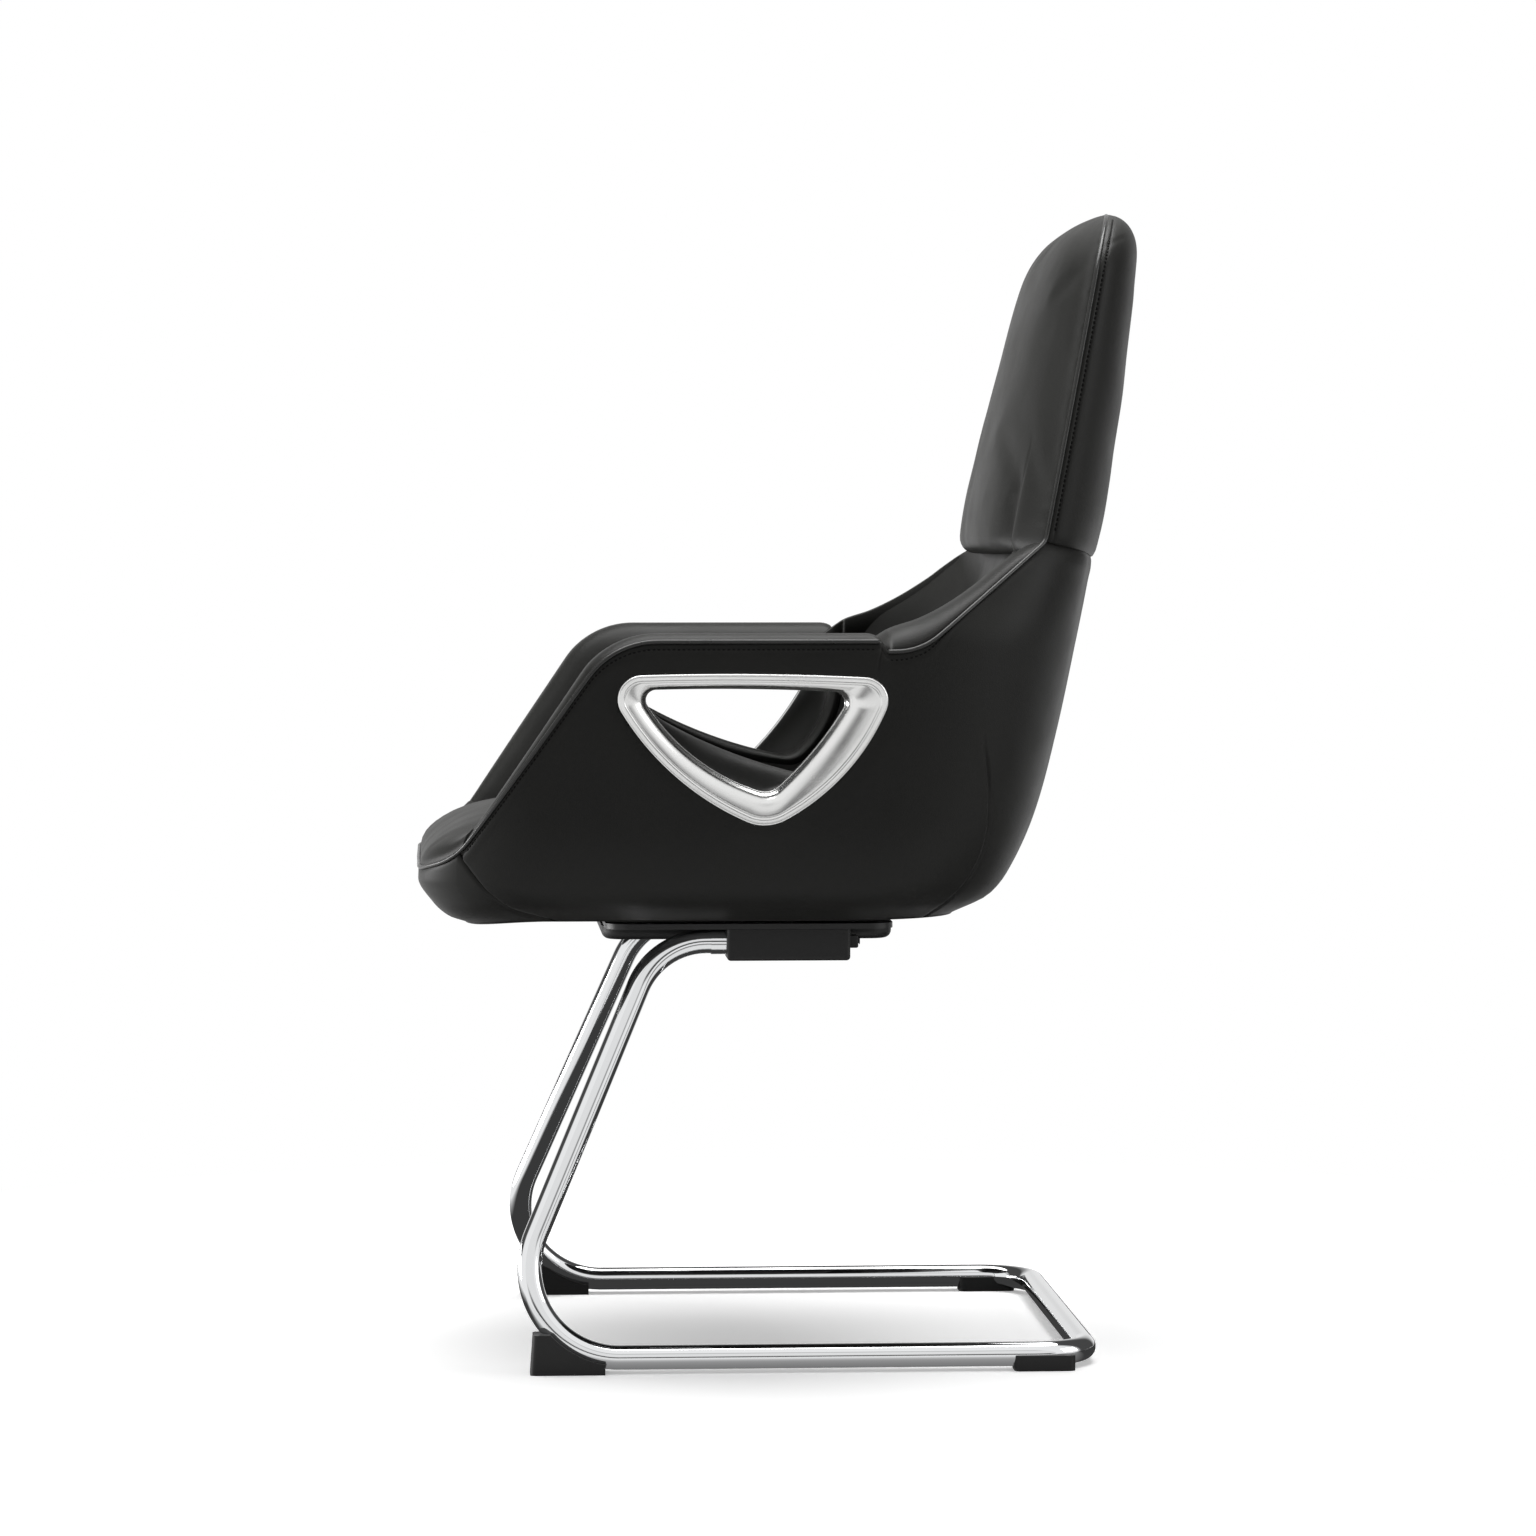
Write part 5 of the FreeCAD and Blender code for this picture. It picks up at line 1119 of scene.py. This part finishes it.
def armRings():
    # Closed band of three-cornered outlines, each at its own height: rim, flat lip, dished face, collar.
    lip = grown(ringOuter, ring["lip"])
    steps = [(n, grown(ringOuter, d)) for n, d in ring["rim"]]
    shares = np.linspace(0, 1, ring["dishSteps"]) ** 0.9
    steps += [(float(dishHeight(t)), between(lip, ringInner, t)) for t in shares]
    steps += [(n, grown(ringInner, d)) for n, d in ring["collar"]]
    flat = np.stack([threeCorner(outline, ring["columns"]) for n, outline in steps])
    points = onArm(flat[..., 0], flat[..., 1], np.array([n for n, outline in steps])[:, None])
    for side, form in bothSides(points):
        faces = turned(form, gridFaces(*form.shape[:2], wrapRows=True, wrapColumns=True))
        putPiece(side + "ArmRing", form, faces, aluminium, [side + "_arm_ring"])


sleeve = {"edge": 8.0, "wall": 3.0, "start": -12.0, "gap": 1.2, "belly": 2.5, "tuck": 6.0, "columns": 44}


def openingSleeves():
    # Padded sleeve: outline blends from the ring to the inner hole, then rolls over onto the lining.
    share = np.linspace(0, 1, 30)
    end = threeCorner(holeInner, sleeve["columns"])
    mix = ease(share)[:, None, None]
    flat = threeCorner(grown(ringInner, sleeve["gap"]), sleeve["columns"]) * (1 - mix) + end * mix
    belly = sleeve["belly"] * np.sin(np.pi * share)[:, None, None]
    flat = flat - unit(flat - flat.mean(1, keepdims=True)) * belly
    wall = armWall(ringPlane["y"] + end[:, 0], ringPlane["z"] + end[:, 1] - shell["baseZ"])
    wall = wall - sleeve["wall"]
    far = (wall - ringX - end[:, 1] * leanSin) / leanCos
    edge = sleeve["edge"]
    depth = sleeve["start"] + share[:, None] * (far + edge - sleeve["start"])
    turn = np.linspace(0, np.pi / 2, 10)[1:, None]
    out = unit(end - end.mean(0))
    lipFlat = end + out * (edge * (1 - np.cos(turn)))[..., None]
    lipDepth = far + edge - edge * np.sin(turn) - turn / 1.57
    flat = np.concatenate([flat, lipFlat, lipFlat[-1:] + out * sleeve["tuck"]])
    depth = np.concatenate([depth, lipDepth, lipDepth[-1:] + sleeve["tuck"]])
    for side, form in bothSides(onArm(flat[..., 0], flat[..., 1], depth)):
        faces = turned(form, gridFaces(*form.shape[:2], wrapColumns=True), form.mean((0, 1)))[:, ::-1]
        piece = padPiece(side + "OpeningSleeve", form, faces, [side + "_opening_liner"])
        thicken(piece, sleeve["wall"])


armRings()
openingSleeves()
print("rings and sleeves made")


# Piping and stitching

cord = {"radius": 1.9, "sides": 12, "proud": 0.7, "step": 2.5, "armEndY": 70.0, "armEndZ": 655.0}
stitch = {"pitch": 4.4, "length": 3.0, "width": 0.9, "flatness": 0.8, "sunk": 0.35, "stations": 7, "sides": 6,
          # Ends of the rows: y, and height above the shell underside
          "armEnd": (66.0, 250.0), "wingStart": (80.0, 244.0), "wingEnd": (219.0, 335.0), "behindHead": 7.0}


def pipingPaths():
    # Arm piping runs arm end, nose, arm end; back piping runs wing, head, top of head, wing.
    lastTurn = float(skinTurn(cord["armEndY"], cord["armEndZ"] - shell["baseZ"]))
    first = float(apronTurns[0])
    half = np.concatenate([np.linspace(0, first, 120, endpoint=False), np.linspace(first, lastTurn, 260)])
    turn = np.concatenate([-half[:0:-1], half])
    h = np.where(np.abs(turn) < first, noseTop(np.abs(turn)), coverTop(np.abs(turn)))
    arm = skin(turn, h)
    out = unit(np.stack([arm[:, 0], np.where(np.abs(arm[:, 0]) < 250, -60.0, 0.0), 0 * h], -1))
    wing = np.stack([skinX(*wingLine.T) + cord["proud"], *wingLine.T], -1)
    z = headLevels(745, 70, 30)
    rise = np.stack([headHalf(z) + 0.4, headPipingY(z), z - 1.5 * (1 - topRound(z))], -1)
    over = np.linspace(rise[-1], rise[-1] * [0, 1, 1], 24)[1:]
    left = np.concatenate([wing[:-1], rise, over])
    return arm + cord["proud"] * out, np.concatenate([left, mirrored(left)[-2::-1]])


def smoothed(path, step):
    # The path resampled about one step apart, with each point drawn towards its neighbours three times.
    length = runAlong(path)[-1]
    path = pointsAt(path, np.linspace(0, length, int(length / step)))
    for turn in range(3):
        path[1:-1] = (path[:-2] + 2 * path[1:-1] + path[2:]) / 4
    return path


def piping():
    # A round cord along each path.
    arm, back = (smoothed(p, cord["step"]) for p in pipingPaths())
    upwards = np.tile([0.0, 0, 1], (len(arm), 1))
    radial = np.stack([back[:, 0], 0 * back[:, 0], back[:, 2] - 850], -1)
    for name, path, towards in (("armPiping", arm, upwards), ("backPiping", back, radial)):
        form = sweep(path, towards, circle(cord["radius"], cord["sides"]))
        putPiece(name, form, loftFaces(form), pipingLeather)


def stitchRows():
    # Rows of short threads: one below the arm piping, one below the wing piping, one behind the head piping.
    off = cover["stitchOffset"]
    armEnd, wingStart, wingEnd = (float(skinTurn(*stitch[k])) for k in ("armEnd", "wingStart", "wingEnd"))
    turn = np.linspace(float(apronTurns[0]) + 0.06, armEnd, 300)
    armRow = skin(turn, coverTop(turn) - off - 1)
    turn = np.linspace(wingStart, wingEnd, 200)
    wingRow = skin(turn, coverTop(turn) - off - 1.5)
    z = headLevels(752, 80, 30)
    z = z[topRound(z) > 0.5]
    depth = np.maximum(rearDepth(z) * topRound(z), 8)
    headRow = rearSection(np.arcsin(np.clip(stitch["behindHead"] / depth, 0, 1)), z)
    return [armRow, wingRow, headRow]


def stitches():
    # Each stitch is a flattened bead: rings along its length, thin at both ends, turned to lie along its row.
    station = np.linspace(-1, 1, stitch["stations"])[:, None]
    girth = np.sqrt(np.maximum(1 - station ** 4, 0.08)) * stitch["width"]
    angle = np.linspace(0, 2 * np.pi, stitch["sides"], endpoint=False)
    tall = girth * np.sin(angle) * stitch["flatness"] - stitch["sunk"] * stitch["width"]
    bead = np.stack(np.broadcast_arrays(station * stitch["length"] / 2, girth * np.cos(angle), tall), -1)
    groups = []
    for row in stitchRows():
        at, ahead = evenly(row, stitch["pitch"])
        out = unit(np.stack([at[:, 0], 0.3 * (at[:, 1] - at[:, 1].mean()), 0 * at[:, 0]], -1))
        out = unit(out - (out * ahead).sum(1, keepdims=True) * ahead)
        groups.append(at[:, None, None] + bead @ np.stack([ahead, np.cross(ahead, out), out], 1)[:, None])
    beads = np.concatenate(groups)
    beads = np.concatenate([beads, mirrored(beads)[:, :, ::-1]])
    single = loftFaces(beads[0] - beads[0].mean((0, 1)))
    starts = np.arange(len(beads))[:, None, None] * stitch["stations"] * stitch["sides"]
    putPiece("seamStitches", beads, (single + starts).reshape(-1, 4), thread)
    print("stitches:", len(beads))


piping()
stitches()
print("piping and stitching made")


# Chromed sled tube

tube = {"radius": 11.0, "sides": 44, "step": 4.0, "bends": [68, 80, 50],
        "corners": [(170, 43.5, 380), (170, -121.5, 380), (260, -279, 14), (260, 264, 14)]}


def sledTube():
    # Circle carried along the bent axis. Its reference turns from one side to upwards and on to the other.
    corners = tube["corners"] + [(-x, y, z) for x, y, z in reversed(tube["corners"])]
    path = roundedPath(corners, tube["bends"] + tube["bends"][::-1], tube["step"])
    run = runAlong(path)
    turn = np.radians(np.interp(run / run[-1], [0.25, 0.37, 0.63, 0.75], [0, 90, 90, 180]))
    towards = np.stack([np.cos(turn), 0 * turn, np.sin(turn)], -1)
    form = sweep(path, towards, circle(tube["radius"], tube["sides"]))
    putPiece("sledTube", form, loftFaces(form), chrome, ["sled_frame"])


sledTube()
print("sled tube made")


# Finishes of the CAD nodes that stay

finishes = {
    "front_foot": nylon, "rear_glide": nylon, "socket_cover": nylon, "plate_shroud": nylon,
    "tube_ferrule": chrome, "dust_cover": felt,
    "socket_block": coat, "mounting_plate": coat, "back_straps": coat,
    "foot_screws": zinc, "cover_screws": zinc, "socket_bolts": zinc, "shroud_screws": zinc,
    "plate_bolts": zinc, "plate_spacers": zinc, "tee_nuts": zinc, "core_screws": zinc, "ring_studs": zinc,
    "seat_board": plywood, "lower_board": plywood, "upper_board": plywood, "arm_core": plywood,
}
for name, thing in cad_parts.items():
    if thing.hide_render:
        continue
    plain = name.replace("left_", "").replace("right_", "")
    thing.data.materials.clear()
    thing.data.materials.append(finishes[plain])
print("finishes set")


# Floor, light and camera

studio = {"floorHalf": 6.0, "lift": 0.3, "bounce": "#b0b0b0", "ambient": 0.34, "cameraSide": 0.02,
          # Mirrored levels: on the floor by x and by y, in the room by x, and above the camera by z
          "strips": [(-5.5, 0.9), (-0.9, 0.9), (-0.5, 0.05), (0.26, 0.05), (0.32, 0.9), (0.75, 0.9),
                     (1.0, 0.12), (1.15, 0.12), (1.4, 0.95), (5.5, 0.95), (5.8, 0.08)],
          "front": [(-0.75, 1.0), (-0.4, 0.0)],
          "room": [(-1, 0.07), (-0.1, 0.07), (0.08, 1.0), (0.72, 1.0), (0.86, 0.09), (1, 0.09)],
          "above": [(-1, 0.0), (0.1, 0.0), (0.2, 0.9), (0.55, 0.9), (0.65, 0.0), (1, 0.0)]}
# Soft boxes: place, target, size, watts
lights = {"keyLight": ((-1.0, -3.3, 0.35), (0, 0, 0.6), (2.6, 0.7), 62.0),
          "topLight": ((-0.45, -0.1, 3.2), (-0.2, 0, 0.0), (3.4, 2.6), 140.0),
          "rearLight": ((1.2, 3.4, 1.4), (0, 0, 0.7), (1.8, 1.8), 20.0)}
# Camera: place in metres, angles in degrees, sensor in mm, focal length and picture width in pixels
view = {"spot": (5.15048, -0.32260, 0.75331), "pitch": 2.4778, "yaw": 3.513, "sensor": 36.0,
        "focalPixels": 5500, "widthPixels": 1536}


def levelRamp(tree, value, stations):
    # Level between (place, level) stations along a value, read off a colour ramp.
    low, high = stations[0][0], stations[-1][0]
    share = addNode(tree, "ShaderNodeMapRange", {"Value": value, "From Min": low, "From Max": high})
    ramp = addNode(tree, "ShaderNodeValToRGB", {"Fac": share.outputs["Result"]})
    marks = ramp.color_ramp.elements
    for place, level in stations[1:-1]:
        marks.new((place - low) / (high - low)).color = (level, level, level, 1)
    for mark, (place, level) in ((marks[0], stations[0]), (marks[-1], stations[-1])):
        mark.color = (level, level, level, 1)
    return ramp.outputs["Color"]


def studioFloor():
    # White sweep: the camera sees white paper that keeps the chair's shadow. Polished metal sees it lit in
    # front of the chair and in strips along its left side, between dark gaps. Other rays get a softer bounce.
    material, tree, place = newMaterial("white_studio_paper")
    path = addNode(tree, "ShaderNodeLightPath").outputs
    paper = addNode(tree, "ShaderNodeBsdfDiffuse", {"Color": linearColour("#ffffff")})
    bounce = addNode(tree, "ShaderNodeBsdfDiffuse", {"Color": linearColour(studio["bounce"])})
    lift = addNode(tree, "ShaderNodeEmission", {"Color": (1, 1, 1, 1), "Strength": studio["lift"]})
    near = addNode(tree, "ShaderNodeAddShader", {0: paper.outputs[0], 1: lift.outputs[0]})
    glow = addNode(tree, "ShaderNodeEmission", {"Color": (1, 1, 1, 1), "Strength": 1.0})
    far = addNode(tree, "ShaderNodeVectorMath", {0: place}, operation="LENGTH")
    share = addNode(tree, "ShaderNodeMapRange", {"Value": far.outputs["Value"], "From Min": 0.6,
                                                 "From Max": 1.4})
    lit = addNode(tree, "ShaderNodeMixShader", {0: share.outputs["Result"], 1: near.outputs[0],
                                                2: glow.outputs[0]})
    spot = addNode(tree, "ShaderNodeSeparateXYZ", {"Vector": place}).outputs
    strips = addNode(tree, "ShaderNodeMath", {0: levelRamp(tree, spot["X"], studio["strips"]),
                                              1: levelRamp(tree, spot["Y"], studio["front"])},
                     operation="MAXIMUM")
    mirror = addNode(tree, "ShaderNodeEmission", {"Color": (1, 1, 1, 1), "Strength": strips.outputs[0]})
    seen = addNode(tree, "ShaderNodeMixShader", {0: path["Is Camera Ray"], 1: bounce.outputs[0],
                                                 2: lit.outputs[0]})
    both = addNode(tree, "ShaderNodeMixShader", {0: path["Is Glossy Ray"], 1: seen.outputs[0],
                                                 2: mirror.outputs[0]})
    below = addNode(tree, "ShaderNodeNewGeometry").outputs["Backfacing"]  # clear from underneath
    clear = addNode(tree, "ShaderNodeBsdfTransparent")
    whole = addNode(tree, "ShaderNodeMixShader", {0: below, 1: both.outputs[0], 2: clear.outputs[0]})
    addNode(tree, "ShaderNodeOutputMaterial", {"Surface": whole.outputs[0]})
    half = studio["floorHalf"]
    mesh = bpy.data.meshes.new("studioFloor")
    corners = [(-half, -half, 0), (half, -half, 0), (half, half, 0), (-half, half, 0)]
    mesh.from_pydata(corners, [], [(0, 1, 2, 3)])
    mesh.materials.append(material)
    floor = bpy.data.objects.new("studioFloor", mesh)
    bpy.context.scene.collection.objects.link(floor)
    floor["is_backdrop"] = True


def studioWorld():
    # White to the camera. Polished metal sees screens by direction: a broad one on the camera's side, one
    # beyond the chair that dims upwards and downwards, and one above the camera. All else gets a soft room,
    # dim on the camera's side.
    world = bpy.data.worlds.new("studioRoom")
    bpy.context.scene.world = world
    world.use_nodes = True
    tree = world.node_tree
    tree.nodes.clear()
    path = addNode(tree, "ShaderNodeLightPath").outputs
    way = addNode(tree, "ShaderNodeTexCoord").outputs["Generated"]
    parts = addNode(tree, "ShaderNodeSeparateXYZ", {"Vector": way}).outputs
    x, z = parts["X"], parts["Z"]
    steep = addNode(tree, "ShaderNodeMath", {0: z}, operation="ABSOLUTE")
    fading = addNode(tree, "ShaderNodeMapRange", {"Value": steep.outputs[0], "From Min": 0.15,
                                                  "From Max": 0.4, "To Min": 0.85, "To Max": 0.3})
    beyond = addNode(tree, "ShaderNodeMapRange", {"Value": x, "From Min": -0.75, "From Max": -0.9,
                                                  "To Min": 0.0, "To Max": fading.outputs["Result"]})
    above = addNode(tree, "ShaderNodeMapRange", {"Value": x, "From Min": 0.6, "From Max": 0.75, "To Min": 0.0,
                                                 "To Max": levelRamp(tree, z, studio["above"])})
    walls = addNode(tree, "ShaderNodeMath", {0: levelRamp(tree, x, studio["room"]),
                                             1: beyond.outputs["Result"]}, operation="MAXIMUM")
    screens = addNode(tree, "ShaderNodeMath", {0: walls.outputs[0], 1: above.outputs["Result"]},
                      operation="MAXIMUM")
    shiny = addNode(tree, "ShaderNodeMath", {0: path["Is Glossy Ray"], 1: path["Is Transmission Ray"]},
                    operation="MAXIMUM")
    dim = addNode(tree, "ShaderNodeMapRange", {"Value": x, "From Min": -0.35, "From Max": 0.55,
                                               "To Min": studio["ambient"], "To Max": studio["cameraSide"]})
    room = addNode(tree, "ShaderNodeMix", {"Factor": shiny.outputs[0], "A": dim.outputs["Result"],
                                           "B": screens.outputs[0]})
    level = addNode(tree, "ShaderNodeMath", {0: room.outputs[0], 1: path["Is Camera Ray"]},
                    operation="MAXIMUM")
    back = addNode(tree, "ShaderNodeBackground", {"Color": (1, 1, 1, 1), "Strength": level.outputs[0]})
    addNode(tree, "ShaderNodeOutputWorld", {"Surface": back.outputs[0]})


def standing(right, up, back, spot):
    # Placing matrix from three directions and a place.
    return mathutils.Matrix([[right[k], up[k], back[k], spot[k]] for k in range(3)] + [[0, 0, 0, 1]])


def softBox(name, place, target, size, power):
    # Rectangular lamp that faces its target.
    lamp = bpy.data.lights.new(name, "AREA")
    lamp.shape = "RECTANGLE"
    lamp.size, lamp.size_y = size
    lamp.energy = power
    thing = bpy.data.objects.new(name, lamp)
    spot = np.array(place, float)
    way = unit(np.array(target, float) - spot)
    right = unit(np.cross(way, [0, 0, 1.0]))
    up = np.cross(right, way)
    thing.matrix_world = standing(right, up, -way, spot)
    bpy.context.scene.collection.objects.link(thing)


def photoCamera():
    # Long lens, a little above the seat, seen nearly square on to the sitter's left.
    lens = bpy.data.cameras.new("photoCamera")
    lens.sensor_width = view["sensor"]
    lens.lens = view["focalPixels"] / view["widthPixels"] * view["sensor"]
    lens.clip_end = 100
    pitch, yaw = math.radians(view["pitch"]), math.radians(view["yaw"])
    ahead = np.array([-math.cos(yaw) * math.cos(pitch), math.sin(yaw) * math.cos(pitch), -math.sin(pitch)])
    right = np.array([math.sin(yaw), math.cos(yaw), 0])
    up = np.cross(right, ahead)
    thing = bpy.data.objects.new("photoCamera", lens)
    thing.matrix_world = standing(right, up, -ahead, view["spot"])
    bpy.context.scene.collection.objects.link(thing)
    bpy.context.scene.camera = thing


studioFloor()
studioWorld()
for name, setting in lights.items():
    softBox(name, *setting)
photoCamera()
bpy.context.scene.view_settings.view_transform = "Standard"
print("studio set")

low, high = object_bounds()
sizes = {"cad": [list(cadLow), list(cadHigh)], "visual": [list(low), list(high)]}
for name, box in sizes.items():
    print(name, "box in mm", [[round(v * 1000) for v in corner] for corner in box])
